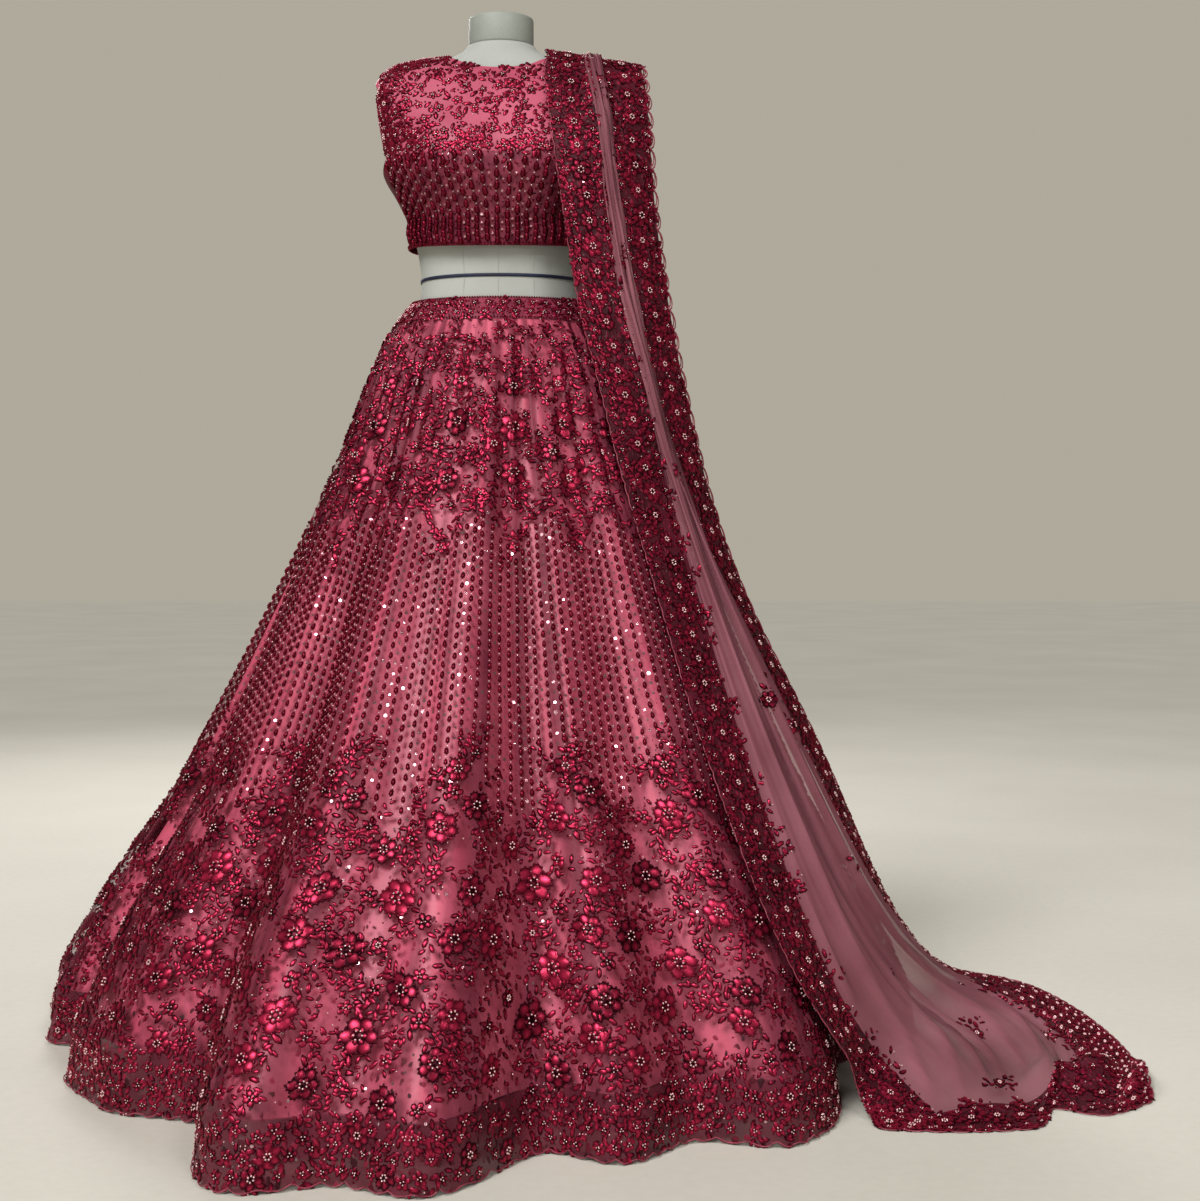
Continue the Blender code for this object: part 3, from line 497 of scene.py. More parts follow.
# %% The shared surface
class Surface:
    """A grid of points [row, column], its top row first, with the way out of the cloth at each."""

    def __init__(self, points, wrapped=False):
        self.points = points
        self.wrapped = wrapped
        self.cells = None
        across = np.gradient(points, axis=1)
        if wrapped:
            across = (np.roll(points, -1, axis=1) - np.roll(points, 1, axis=1)) / 2
        up = -np.gradient(points, axis=0)
        self.out = unit(np.cross(across, up))
        self.up = unit(up)
        self.spacing = np.stack([np.linalg.norm(across, axis=2), np.linalg.norm(up, axis=2)], axis=2)

    def read(self, values, rows, columns):
        """Values of the grid between its points, at fractional rows and columns."""
        count_rows, count_columns = values.shape[:2]
        rows = np.clip(rows, 0, count_rows - 1.001)
        low = np.floor(rows).astype(int)
        part = (rows - low)[:, None]
        if not self.wrapped:
            columns = np.clip(columns, 0.3, count_columns - 1.301)
        left = np.floor(columns).astype(int)
        beside = (columns - left)[:, None]
        left, right = left % count_columns, (left + 1) % count_columns
        top = values[low, left] * (1 - beside) + values[low, right] * beside
        under = values[low + 1, left] * (1 - beside) + values[low + 1, right] * beside
        return top * (1 - part) + under * part


class Spots:
    """Any number of places on a surface, as fractional rows and columns."""

    def __init__(self, surface, rows, columns):
        self.surface = surface
        self.rows, self.columns = np.broadcast_arrays(np.asarray(rows, float), np.asarray(columns, float))

    def __len__(self):
        return len(self.rows)

    def __getitem__(self, chosen):
        return Spots(self.surface, self.rows[chosen], self.columns[chosen])

    def repeated(self, times):
        return Spots(self.surface, np.repeat(self.rows, times), np.repeat(self.columns, times))

    def moved(self, across, along):
        """The spots moved over the cloth by distances to the right and up."""
        wide, tall = self.surface.read(self.surface.spacing, self.rows, self.columns).T
        return Spots(self.surface, self.rows - along / tall, self.columns + across / wide)

    def on_cloth(self):
        """Which of the spots lie on cells that have cloth. A surface without openings keeps all."""
        cells = self.surface.cells
        if cells is None:
            return slice(None)
        rows = np.clip(self.rows, 0, cells.shape[0] - 1).astype(int)
        return cells[rows, self.columns.astype(int) % cells.shape[1]]

    def frames(self):
        """The place, right, up and out of each spot."""
        read, surface = self.surface.read, self.surface
        out = unit(read(surface.out, self.rows, self.columns))
        up = read(surface.up, self.rows, self.columns)
        up = unit(up - out * np.sum(up * out, axis=1, keepdims=True))
        return read(surface.points, self.rows, self.columns), np.cross(up, out), up, out


# %% Pieces, and cloth from a surface
def placed(name, data):
    """A new object of the scene, at the origin."""
    made = bpy.data.objects.new(name, data)
    bpy.context.scene.collection.objects.link(made)
    return made


def mesh_from(name, mesh_builder, materials):
    """Ends a mesh builder. Returns its mesh, with the materials."""
    mesh = bpy.data.meshes.new(name)
    mesh_builder.to_mesh(mesh)
    mesh_builder.free()
    for material in materials:
        mesh.materials.append(material)
    return mesh


def piece(name, mesh_builder, materials):
    """Makes the finished object and lets it ride on the part."""
    mesh = mesh_from(name, mesh_builder, materials)
    made = placed(name, mesh)
    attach(made, "root")
    area = sum(polygon.area for polygon in mesh.polygons)
    triangles = sum(len(polygon.vertices) - 2 for polygon in mesh.polygons)
    print(f"{name}: {triangles} triangles, {area:.2f} m2")
    return made


def cloth(name, surface, materials, slot_of=None, keep=None, cover=None, work=None):
    """A shell on a surface. cover and work have one number for each point."""
    rows, columns = surface.points.shape[:2]
    spans = columns if surface.wrapped else columns - 1
    mesh_builder = bmesh.new()
    new_layer = mesh_builder.verts.layers.float.new
    layers = [(new_layer(label), values) for label, values in (("cover", cover), ("work", work))]
    bmesh.ops.create_grid(mesh_builder, x_segments=spans, y_segments=rows - 1, size=1.0)
    mesh_builder.verts.ensure_lookup_table()
    mesh_builder.faces.ensure_lookup_table()
    for index, vertex in enumerate(mesh_builder.verts):
        row, column = divmod(index, spans + 1)
        vertex.co = surface.points[row, column % columns]
        for layer, values in layers:
            vertex[layer] = 1.0 if values is None else values[row, column % columns]
    unwanted = []
    for index, face in enumerate(mesh_builder.faces):
        row, column = divmod(index, spans)
        face.smooth = True
        face.material_index = 0 if slot_of is None else slot_of(row, column)
        if keep is not None and not keep(row, column):
            unwanted.append(face)
    bmesh.ops.reverse_faces(mesh_builder, faces=mesh_builder.faces)
    bmesh.ops.delete(mesh_builder, geom=unwanted, context="FACES")
    if surface.wrapped:
        bmesh.ops.remove_doubles(mesh_builder, verts=mesh_builder.verts, dist=1e-6)
    return piece(name, mesh_builder, materials)


# %% [markdown]
# ## The dress form
#
# A form is built up smooth, covered in canvas with a seam down the middle and two over the bust, and
# capped at the neck. Lofting rings through the form's own sections gives the body in one go, and thin
# strips of cloth laid over it make the seams.


# %% Rings of the form
def oval(half_width, front, back, squareness, height, columns):
    """A closed ring at one height, from the front round by +X."""
    power = 2.0 / squareness
    angles = np.radians(evenly(columns))
    across, along = np.sin(angles), np.cos(angles)
    depth = np.where(along > 0, front, back)
    x = half_width * np.sign(across) * np.abs(across) ** power
    y = -depth * np.sign(along) * np.abs(along) ** power
    return np.stack([x, y, np.full(columns, height)], axis=1)


def form_ring(height, grown=0.0, columns=96):
    half_width, front, back, squareness = interpolated(FORM_SECTIONS, height)
    return oval(half_width + grown, front + grown, back + grown, squareness, height, columns)


def lofted(name, rings, materials):
    """A closed smooth solid through rings with the same number of points."""
    mesh_builder = bmesh.new()
    loops = []
    for ring in rings:
        corners = [mesh_builder.verts.new(point) for point in ring]
        loops.append([mesh_builder.edges.new((a, b)) for a, b in zip(corners, corners[1:] + corners[:1])])
    for lower, upper in zip(loops, loops[1:]):
        bmesh.ops.bridge_loops(mesh_builder, edges=lower + upper)
    bmesh.ops.holes_fill(mesh_builder, edges=loops[0] + loops[-1], sides=0)
    bmesh.ops.recalc_face_normals(mesh_builder, faces=mesh_builder.faces)
    for face in mesh_builder.faces:
        face.smooth = len(face.verts) == 4
    return piece(name, mesh_builder, materials)


# %% The torso, its neck cap and its plates
FORM_COLUMNS = 72
# height above the neck's seam, how far the edge is drawn in
CAP_PROFILE = [
    (0.0, 0.003),
    (0.0012, 0.0008),
    (0.004, 0.0),
    (NECK_CAP_HEIGHT - 0.004, 0.0),
    (NECK_CAP_HEIGHT - 0.0012, 0.0008),
    (NECK_CAP_HEIGHT, 0.0035),
]
torso_rings = [oval(*row[1:], row[0], FORM_COLUMNS) for row in eased(FORM_SECTIONS, 2)]
torso = lofted("form_canvas_body", torso_rings, [canvas])
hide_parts("form_torso")

cap_rings = []
for rise, inset in CAP_PROFILE:
    half_width, half_depth = NECK_CAP_HALF_WIDTH - inset, NECK_CAP_HALF_DEPTH - inset
    height = FORM_SECTIONS[-1][0] + 0.0003 + rise
    cap_rings.append(oval(half_width, half_depth, half_depth, 2.0, height, FORM_COLUMNS))
neck_cap = lofted("form_neck_cap_body", cap_rings, [cap_paint])
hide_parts("form_neck_cap")


def armhole_plate(node):
    """A round plate with a softened rim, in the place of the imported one."""
    low, high = (Vector(corner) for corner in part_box(node))
    mesh_builder = bmesh.new()
    bmesh.ops.create_cone(mesh_builder, cap_ends=True, segments=48, radius1=0.5, radius2=0.5, depth=1.0)
    bmesh.ops.rotate(mesh_builder, verts=mesh_builder.verts, matrix=Matrix.Rotation(math.pi / 2, 3, "Y"))
    bmesh.ops.scale(mesh_builder, verts=mesh_builder.verts, vec=high - low)
    bmesh.ops.translate(mesh_builder, verts=mesh_builder.verts, vec=(low + high) / 2)
    rim = [edge for edge in mesh_builder.edges if abs((edge.verts[0].co - edge.verts[1].co).x) < 1e-6]
    softened = {"offset": 0.0012, "affect": "EDGES", "segments": 2, "profile": 0.5, "material": -1}
    bmesh.ops.bevel(mesh_builder, geom=rim, **softened)
    made = piece(node + "_disc", mesh_builder, [cap_paint])
    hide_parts(node)


for side in ("left", "right"):
    armhole_plate(f"form_armhole_plate_{side}")

# %% Seams in the canvas and the tape at the waist
PRINCESS_SEAM = 0.42
SEAM_HALF_WIDTH = 0.0006
SEAM_RISE = 0.0005
SEAM_EDGE_RISE = 0.0001
# height from the tape's middle, distance out from the body
TAPE_PROFILE = [
    (0.0025, 0.0003),
    (0.0022, 0.0014),
    (0.0, 0.0016),
    (-0.0022, 0.0014),
    (-0.0025, 0.0003),
]


def seam_line(name, share, low, high):
    """A narrow welt down the form's front, at a share of its half width."""
    heights = np.linspace(low, high, 60)
    lines = []
    for height in heights:
        half_width, front, _, squareness = interpolated(FORM_SECTIONS, height)
        for side in (-1, 0, 1):
            across = share * half_width + side * SEAM_HALF_WIDTH
            inside = 1 - abs(across / half_width) ** squareness
            rise = SEAM_EDGE_RISE if side else SEAM_RISE
            lines.append((across, -front * inside ** (1 / squareness) - rise, height))
    points = np.array(lines).reshape(len(heights), 3, 3)[::-1]
    return cloth(name, Surface(points), [canvas])


for label, share in (("middle", 0.0), ("left", PRINCESS_SEAM), ("right", -PRINCESS_SEAM)):
    welt = seam_line(f"form_seam_{label}", share, 1.128, 1.262)

tape_rings = np.array([form_ring(TAPE_HEIGHT + rise, out) for rise, out in TAPE_PROFILE])
tape = cloth("waist_tape_band", Surface(tape_rings, wrapped=True), [navy_tape])
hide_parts("form_waist_tape")

stand_finishes = {"stand_pole": stand_steel, "stand_collar": stand_steel, "stand_foot": stand_iron}
for node, material in stand_finishes.items():
    for material_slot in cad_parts[node].material_slots:
        material_slot.material = material

# %% [markdown]
# ## The skirt's net and its lining
#
# The skirt is a wide tube: gathered to the waistband in small pleats, and falling in deep flutes to a
# scalloped hem. Its points come from the level table, with small uneven pleats added to those of the
# solids, so that the net turns darker where it doubles.


# %% Points of the skirt
WAIST_SEAM = SKIRT_LEVELS[0][0]
# height, how far the small pleats stand out
PLEAT_REACH = [(0.0, 0.0012), (0.35, 0.0020), (0.75, 0.0024), (1.05, 0.0016), (WAIST_SEAM, 0.0)]


def hem_radius(azimuth):
    """The hem's radius on the floor, eased from each crest to the next trough."""
    start = HEM_FOLDS[0][0]
    closed = np.array(HEM_FOLDS + [(start + 360, HEM_FOLDS[0][1])], float)
    azimuth = (np.asarray(azimuth, float) - start) % 360 + start
    after = np.clip(np.searchsorted(closed[:, 0], azimuth, side="right"), 1, len(closed) - 1)
    share = (azimuth - closed[after - 1, 0]) / (closed[after, 0] - closed[after - 1, 0])
    change = closed[after, 1] - closed[after - 1, 1]
    return closed[after - 1, 1] + change * (1 - np.cos(math.pi * share)) / 2


def skirt_points(azimuth, height, gathered=1.0, extra=0.0):
    """Points of the net. extra moves them outwards along the radius."""
    mean_radius, flute_share, depth_ratio, gather_depth = interpolated(SKIRT_LEVELS[::-1], height)
    radius = mean_radius + flute_share * (hem_radius(azimuth) - SKIRT_LEVELS[-1][1]) + extra
    turn = np.radians(azimuth)
    crest = math.radians(FIRST_SEAM + 10.0)
    radius = radius + gathered * gather_depth * np.cos(GATHERS * (turn - crest))
    x, y = radius * np.sin(turn), -radius * depth_ratio * np.cos(turn)
    return np.stack([x, y, height + 0 * turn], axis=-1)


def fine_pleats(azimuth, height):
    """Small uneven folds, how far they stand out in metres, and how doubled the net is there."""
    turn = np.radians(azimuth)
    wander = 0.35 * np.sin(5 * turn + 1.0) + 0.25 * np.sin(11 * turn + 2.2 + 2.0 * height)
    fold = 0.5 + 0.5 * np.cos(GATHERS * turn + 2.4 * wander)
    second = 0.5 + 0.5 * np.cos(83 * turn + 1.7 * np.sin(7 * turn) + 3.0 * height)
    uneven = 0.55 + 0.45 * np.sin(9 * turn + 0.6)
    doubled = np.clip(fold**3 * uneven + 0.45 * second**6, 0, 1)
    return interpolated(PLEAT_REACH, height)[0] * (doubled - 0.4), doubled


# %% The lining
LINING_COLUMNS = 216
# height, how far the lining lies inside the net
LINING_DEPTH = [
    (LINING_HEM, 0.0218),
    (0.3900, 0.0198),
    (0.5700, 0.0128),
    (0.9150, 0.0118),
    (1.0600, 0.0098),
    (WAIST_SEAM, 0.0068),
]
# height, how far the lining's ripples stand out
LINING_RIPPLE = [(0.0, 0.00096), (0.5, 0.00128), (1.0, 0.0016), (1.1, 0.0)]
lining_heights = np.concatenate([np.linspace(1.1075, 0.9, 12), np.linspace(0.87, LINING_HEM, 26)])
lining_turn = np.radians(evenly(LINING_COLUMNS))
lining_rows = []
for height in lining_heights:
    ring = skirt_points(evenly(LINING_COLUMNS), min(height, WAIST_SEAM), gathered=0.0)
    ring[:, 2] = height
    lining_rows.append(ring)
lining_surface = Surface(np.array(lining_rows), wrapped=True)
depth, ripple_height = (interpolated(table, lining_heights)[0] for table in (LINING_DEPTH, LINING_RIPPLE))
ripples = np.sin(lining_turn * 60 + 2.0 * np.sin(lining_turn * 7))
inwards = depth[:, None] - ripple_height[:, None] * ripples
lining_points = lining_surface.points - lining_surface.out * inwards[:, :, None]
lining_points[:, :, 2] = lining_heights[:, None]
lining = cloth("satin_lining", Surface(lining_points, wrapped=True), [satin])
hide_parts("lehenga_lining")

# %% The net
ROWS_IN_GORE = 9
BEAD_ROWS = GORES * ROWS_IN_GORE
SKIRT_COLUMNS = 648
SCALLOPS = 144
SCALLOP_RISE = 0.007
SCALLOP_REACH = 0.04
FLOOR_GAP = 0.0002
HEM_NET_RISE = 0.012
# height, amount of stitched leaves
STITCH_LEVELS = [(0.0, 1.0), (0.42, 0.85), (0.47, 0.0), (0.77, 0.0), (0.80, 0.7), (1.06, 0.75), (1.10, 0.9)]
# height, how far the net is darker along the rows of drop beads
STRIPE_LEVELS = [(0.36, 0.0), (0.46, 0.30), (0.76, 0.30), (0.83, 0.0)]
upper_heights, lower_heights = np.linspace(1.1028, 0.98, 12), np.linspace(0.96, 0.12, 33)
skirt_heights = np.concatenate([upper_heights, lower_heights, np.linspace(0.10, 0.0, 8)])
skirt_azimuths = FIRST_SEAM + evenly(SKIRT_COLUMNS)
from_first_seam = np.radians(evenly(SKIRT_COLUMNS))
net_rows, net_cover = [], []
for height in skirt_heights:
    out, doubled = fine_pleats(skirt_azimuths, height)
    net_rows.append(skirt_points(skirt_azimuths, height, extra=out))
    net_cover.append(doubled)
net_points = np.array(net_rows)
scallop = SCALLOP_RISE * np.abs(np.sin(from_first_seam * SCALLOPS / 2)) ** 0.8
edge_share = np.clip(1 - skirt_heights / SCALLOP_REACH, 0, 1)[:, None]
net_points[:, :, 2] += edge_share * (SCALLOP_RISE - scallop) + FLOOR_GAP
skirt_surface = Surface(net_points, wrapped=True)
stitch_share = interpolated(STITCH_LEVELS, skirt_heights)[0]
stripe_share = interpolated(STRIPE_LEVELS, skirt_heights)[0]
net_work = np.repeat(stitch_share[:, None], SKIRT_COLUMNS, axis=1)
stripes = np.cos((from_first_seam - math.pi / BEAD_ROWS) * BEAD_ROWS)
net_cover = np.clip(np.array(net_cover) + stripe_share[:, None] * stripes, 0, 1)


def net_slot(row, column):
    """The net takes a painted shade near the lining's hem and below it, where nothing pink is behind it."""
    return 1 if skirt_heights[row] < LINING_HEM + HEM_NET_RISE else 0


net = cloth("lehenga_net", skirt_surface, [skirt_net, hem_net_painted_shade], net_slot, cover=net_cover, work=net_work)
gores = [f"lehenga_gore_{number:02d}" for number in range(1, GORES + 1)]
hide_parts(*gores)

# %% The waistband
BAND_COLUMNS = 240
# share of the way up from the waist seam, how far the band is plumped out
BAND_PROFILE = [
    (1.0, -0.0014),
    (1.0, 0.0),
    (0.9, 0.0008),
    (0.6, 0.0012),
    (0.3, 0.0010),
    (0.08, 0.0004),
    (0.0, -0.0006),
]
band_turn = np.radians(evenly(BAND_COLUMNS))
band_low = skirt_points(evenly(BAND_COLUMNS), WAIST_SEAM, gathered=0.0)
band_x, band_y = BAND_TOP_HALF_WIDTH * np.sin(band_turn), -BAND_TOP_DEPTH * np.cos(band_turn)
band_high = np.stack([band_x, band_y, np.full(BAND_COLUMNS, WAIST_SEAM + BAND_HEIGHT)], axis=1)
pucker = 0.0007 * np.sin(band_turn * 44 + 2 * np.sin(5 * band_turn))[:, None]
band_rows = []
for share, plump in BAND_PROFILE:
    ring = band_low + (band_high - band_low) * share
    outward = unit(ring * np.array([1, 1, 0]))
    band_rows.append(ring + outward * (plump + pucker * math.sin(math.pi * share)))
band_surface = Surface(np.array(band_rows), wrapped=True)
waistband = cloth("lehenga_waistband_cloth", band_surface, [bead_satin])
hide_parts("lehenga_waistband")

# %% [markdown]
# ## The choli
#
# The choli is a short fitted bodice: a pink satin yoke over darker beaded cloth, with a plain panel at
# each side. Its rings come from the measurement table and are pushed just clear of the form, as in the
# solids.


# %% Points of the choli
SIDE_SEAMS = (CHOLI_COLUMNS // 4, 3 * CHOLI_COLUMNS // 4)
CHOLI_FINER = 5


def grid_tree(points):
    rows, columns = points.shape[:2]
    faces = []
    for row in range(rows - 1):
        for column in range(columns):
            beside = (column + 1) % columns
            first, second = row * columns, (row + 1) * columns
            faces.append((first + column, first + beside, second + beside, second + column))
    return BVHTree.FromPolygons([Vector(point) for point in points.reshape(-1, 3)], faces)


def lifted_off(point, tree, least):
    """The point, or the nearest place that is the least distance outside the surface."""
    place, normal, _, _ = tree.find_nearest(Vector(point))
    if normal.dot(place - Vector((0.0, 0.0, BUST_CUP_HEIGHT))) < 0:
        normal = -normal
    if (Vector(point) - place).dot(normal) < least:
        return np.array(place + normal * least)
    return point


def choli_point(ring, angle):
    """A point of a ring of the table, at an angle from the front."""
    side_x, side_z, front_y, front_z, back_y, back_z, squareness = ring
    power = 2.0 / squareness
    across, along = math.sin(angle), math.cos(angle)
    middle_y, middle_z = (-front_y, front_z) if along > 0 else (back_y, back_z)
    x = side_x * math.copysign(abs(across) ** power, across)
    y = middle_y * abs(along) ** power
    z = side_z + (middle_z - side_z) * abs(along) ** CHOLI_SAG
    for cup_x in (-BUST_CUP_OFFSET, BUST_CUP_OFFSET):
        away = math.hypot(x - cup_x, z - BUST_CUP_HEIGHT) / BUST_CUP_SPREAD
        y -= BUST_CUP * math.exp(-(away**2)) * max(along, 0.0)
    return x, y, z


def choli_grid(tree):
    """The choli's points [ring, column] from the hem up, the first column at the middle back."""
    grid = np.zeros((len(CHOLI_RINGS), CHOLI_COLUMNS, 3))
    for row, ring in enumerate(CHOLI_RINGS):
        for column in range(CHOLI_COLUMNS):
            point = choli_point(ring, math.pi + 2 * math.pi * column / CHOLI_COLUMNS)
            grid[row, column] = lifted_off(point, tree, FORM_CLEARANCE + CHOLI_WALL)
    return grid


def round_armholes(grid):
    """Moves the edge of each armhole from a rectangle of cells to an oval."""
    first, last = min(ARMHOLE), max(ARMHOLE) + 1
    for seam in SIDE_SEAMS:
        columns = range(seam - ARMHOLE_REACH, seam + ARMHOLE_REACH + 1)
        corners = grid[first : last + 1, columns[0] : columns[-1] + 1]
        low, high = corners[..., 1:].min(axis=(0, 1)), corners[..., 1:].max(axis=(0, 1))
        centre, half = (low + high) / 2, (high - low) / 2
        for row in range(first, last + 1):
            for column in columns:
                if row in (first, last) or column in (columns[0], columns[-1]):
                    away = grid[row, column, 1:] - centre
                    grid[row, column, 1:] = centre + away / np.linalg.norm(away / half)


form_tree = grid_tree(np.array([form_ring(section[0], columns=24) for section in FORM_SECTIONS]))
choli_coarse = choli_grid(form_tree)
round_armholes(choli_coarse)
choli_tree = grid_tree(choli_coarse)
choli_points = finer(choli_coarse, CHOLI_FINER, CHOLI_FINER, wrapped=True)[::-1]
choli_surface = Surface(choli_points, wrapped=True)
CHOLI_ROWS, CHOLI_SPANS = choli_points.shape[:2]

# %% The choli's cloth
SIDE_PANEL = 2
YOKE_SHARE = 0.53


def choli_cell(row, column):
    """The ring that a fine cell lies in, and its distance in coarse columns from a side seam."""
    ring, place = (CHOLI_ROWS - 2 - row) // CHOLI_FINER, column // CHOLI_FINER
    return ring, min(abs(place + 0.5 - seam) for seam in SIDE_SEAMS)


def outside_armholes(row, column):
    ring, away = choli_cell(row, column)
    return not (ring in ARMHOLE and away < ARMHOLE_REACH)


def choli_slot(row, column):
    """Pink yoke over darker beaded cloth, and a plain crepe panel at each side."""
    ring, away = choli_cell(row, column)
    if away < SIDE_PANEL and ring < max(ARMHOLE):
        return 2
    return 1 if row > CHOLI_ROWS * YOKE_SHARE else 0


# Nothing is sewn nearer than EDGE_CELLS fine cells to an armhole.
EDGE_CELLS = 2
fine_cells = [outside_armholes(*cell) for cell in np.ndindex(CHOLI_ROWS - 1, CHOLI_SPANS)]
sewable = np.array(fine_cells).reshape(CHOLI_ROWS - 1, CHOLI_SPANS)
for _ in range(EDGE_CELLS):
    beside_cells = [np.roll(sewable, step, axis) for step in (-1, 1) for axis in (0, 1)]
    sewable = np.logical_and.reduce([sewable, *beside_cells])
choli_surface.cells = sewable
choli_cloths = [yoke_satin, bead_satin, side_cloth]
choli_cloth = cloth("choli_bodice", choli_surface, choli_cloths, choli_slot, outside_armholes)
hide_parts("choli_front", "choli_back_left", "choli_back_right")

# %% [markdown]
# ## The dupatta
#
# The dupatta is one long sheet with a beaded border all round. Each section of its table is a line
# across the cloth, from the edge by the neck to the outer edge, and the net between the borders falls
# in long uneven folds.


# %% Points of the dupatta
def skirt_reach(x, y, height):
    """How far from the axis the net reaches near this direction, crests included."""
    _, _, depth_ratio, gather_depth = interpolated(SKIRT_LEVELS[::-1], height)
    facing = math.atan2(x, -y)
    azimuth = math.degrees(math.atan2(depth_ratio * math.sin(facing), math.cos(facing)))
    near = skirt_points(azimuth + np.linspace(-REACH_SPREAD, REACH_SPREAD, 5), height, gathered=0.0)
    return float(np.max(np.hypot(near[:, 0], near[:, 1])) + gather_depth)


def section_points(row, notch):
    """One section of the dupatta, with points closer together in the borders."""
    inner_edge, outer_edge, bulge = row[0:3], row[3:6], row[6]
    chord = outer_edge - inner_edge
    outward = unit(np.array([chord[1], -chord[0], 0.0]))
    middle = (inner_edge + outer_edge) / 2
    if np.dot(outward, [middle[0], middle[1], 0.0]) < 0:
        outward = -outward

    def point(share):
        dent = notch * math.exp(-(((share - NOTCH_PLACE) / NOTCH_HALF_WIDTH) ** 2))
        return inner_edge + chord * share + outward * (bulge * 4 * share * (1 - share) - dent)

    shares = np.linspace(0, 1, 60)
    length = lengths_along(np.array([point(share) for share in shares]))
    border = min(SIDE_BORDER, SIDE_BORDER_MOST * length[-1])
    inner = np.linspace(0, border, BORDER_COLUMNS + 1)
    net_part = np.linspace(border, length[-1] - border, NET_COLUMNS + 1)[1:]
    distances = np.concatenate([inner, net_part, length[-1] - border + inner[1:]])
    return np.array([point(share) for share in np.interp(distances, length, shares)])


def lay_on_the_figure(grid):
    """Moves the points that are too near to the form, the choli or the skirt outwards."""
    for point in grid.reshape(-1, 3):
        if point[2] > CHOLI_RINGS[0][1]:
            point[:] = lifted_off(point, choli_tree, CHOLI_CLEARANCE + DUPATTA_WALL)
            point[:] = lifted_off(point, form_tree, FORM_CLEARANCE + DUPATTA_WALL)
        if point[2] < WAIST_SEAM:
            least = skirt_reach(point[0], point[1], point[2]) + SKIRT_CLEARANCE
            distance = math.hypot(point[0], point[1])
            if distance < least:
                point[:2] *= least / distance


def roll_lift(x, y):
    """The height of the roll that lies across the train's corner."""
    turn = math.radians(ROLL_AZIMUTH)
    away = np.array([x - ROLL_PLACE[0], y - ROLL_PLACE[1]])
    along = away @ np.array([math.sin(turn), -math.cos(turn)])
    across = away @ np.array([math.cos(turn), math.sin(turn)])
    return ROLL_HEIGHT * math.exp(-((across / ROLL_HALF_WIDTH) ** 2) - (along / ROLL_HALF_LENGTH) ** 4)


def dupatta_grid():
    """The dupatta's points [row, column], from its back end to the train and from the neck outwards."""
    rows = eased([section[1:] for section in DUPATTA_SECTIONS], ROWS_PER_SECTION)
    rows_from_end = np.arange(len(rows))[::-1]
    notches = NOTCH_DEPTH * np.maximum(0.0, 1 - rows_from_end / (2 * ROWS_PER_SECTION))
    grid = np.array([section_points(row, notch) for row, notch in zip(rows, notches)])
    border_shape = [0.0] * BORDER_COLUMNS
    shape = np.array([*border_shape, *NET_FOLD_SHAPE, *border_shape])
    along, across = np.gradient(grid, axis=0), np.gradient(grid, axis=1)
    grid += unit(np.cross(across, -along)) * (rows[:, 7, None] * shape)[:, :, None]
    lay_on_the_figure(grid)
    for _ in range(SMOOTHINGS):
        grid[1:-1] = grid[1:-1] / 2 + (grid[:-2] + grid[2:]) / 4
    lay_on_the_figure(grid)
    for point in grid.reshape(-1, 3):
        if point[2] < ROLL_HEIGHT:
            point[2] += roll_lift(point[0], point[1])
    return grid


# %% The dupatta's cloth
ROWS_FINER = 4
COLUMNS_FINER = 5
CREASE_HEIGHT = 0.0070
CREASE_INSET = 0.12
CREASE_FADE = 0.08
SHEET_RISE = 0.0012
dupatta_points = finer(dupatta_grid(), ROWS_FINER, COLUMNS_FINER)
D_ROWS, D_COLUMNS = dupatta_points.shape[:2]
BORDER_SPAN = BORDER_COLUMNS * COLUMNS_FINER
END_SPAN = 2 * ROWS_FINER
# The outer border is wider by TRAIN_WIDER columns where the train turns on the floor.
TRAIN_WIDER = 12
TRAIN_ROWS = (0.80 * D_ROWS, 0.86 * D_ROWS)
place_down = np.linspace(0, 1, D_ROWS)[:, None]
place_across = np.linspace(0, 1, D_COLUMNS)[None, :]
long_creases = np.cos(46 * place_across + 3.0 * np.sin(7 * place_down)) ** 8
slanted_creases = np.cos(71 * place_across - 9 * place_down) ** 12
from_side = np.minimum(place_across, 1 - place_across)
from_end = np.minimum(np.arange(D_ROWS), np.arange(D_ROWS)[::-1])[:, None]
inside = np.clip((from_side - CREASE_INSET) / CREASE_FADE, 0, 1)
inside = inside * np.clip((from_end - END_SPAN) / (2 * END_SPAN), 0, 1)
creases = (long_creases + 0.5 * slanted_creases) * inside
dupatta_points = dupatta_points + Surface(dupatta_points).out * (CREASE_HEIGHT * creases)[:, :, None]
dupatta_points[:, :, 2] = np.maximum(dupatta_points[:, :, 2], SHEET_RISE)
dupatta_surface = Surface(dupatta_points)
dupatta_cover = np.clip(0.25 + 0.75 * creases, 0, 1)


def dupatta_slot(row, column):
    """Border cloth round the edge, net in the middle."""
    outer_span = BORDER_SPAN + TRAIN_WIDER * np.interp(row, TRAIN_ROWS, (0.0, 1.0))
    in_sides = column < BORDER_SPAN or column >= D_COLUMNS - 1 - outer_span
    in_ends = row < END_SPAN or row >= D_ROWS - 1 - END_SPAN
    return 1 if in_sides or in_ends else 0


dupatta_cloths = [mauve_net, border_net]
dupatta = cloth("dupatta_sheet", dupatta_surface, dupatta_cloths, dupatta_slot, cover=dupatta_cover)
stretches = ("back", "shoulder", "front", "train")
bands = ("inner_border", "net", "outer_border")
dupatta_nodes = [f"dupatta_{stretch}_{band}" for stretch in stretches for band in bands]
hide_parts(*dupatta_nodes, "dupatta_back_end_border", "dupatta_train_end_border")

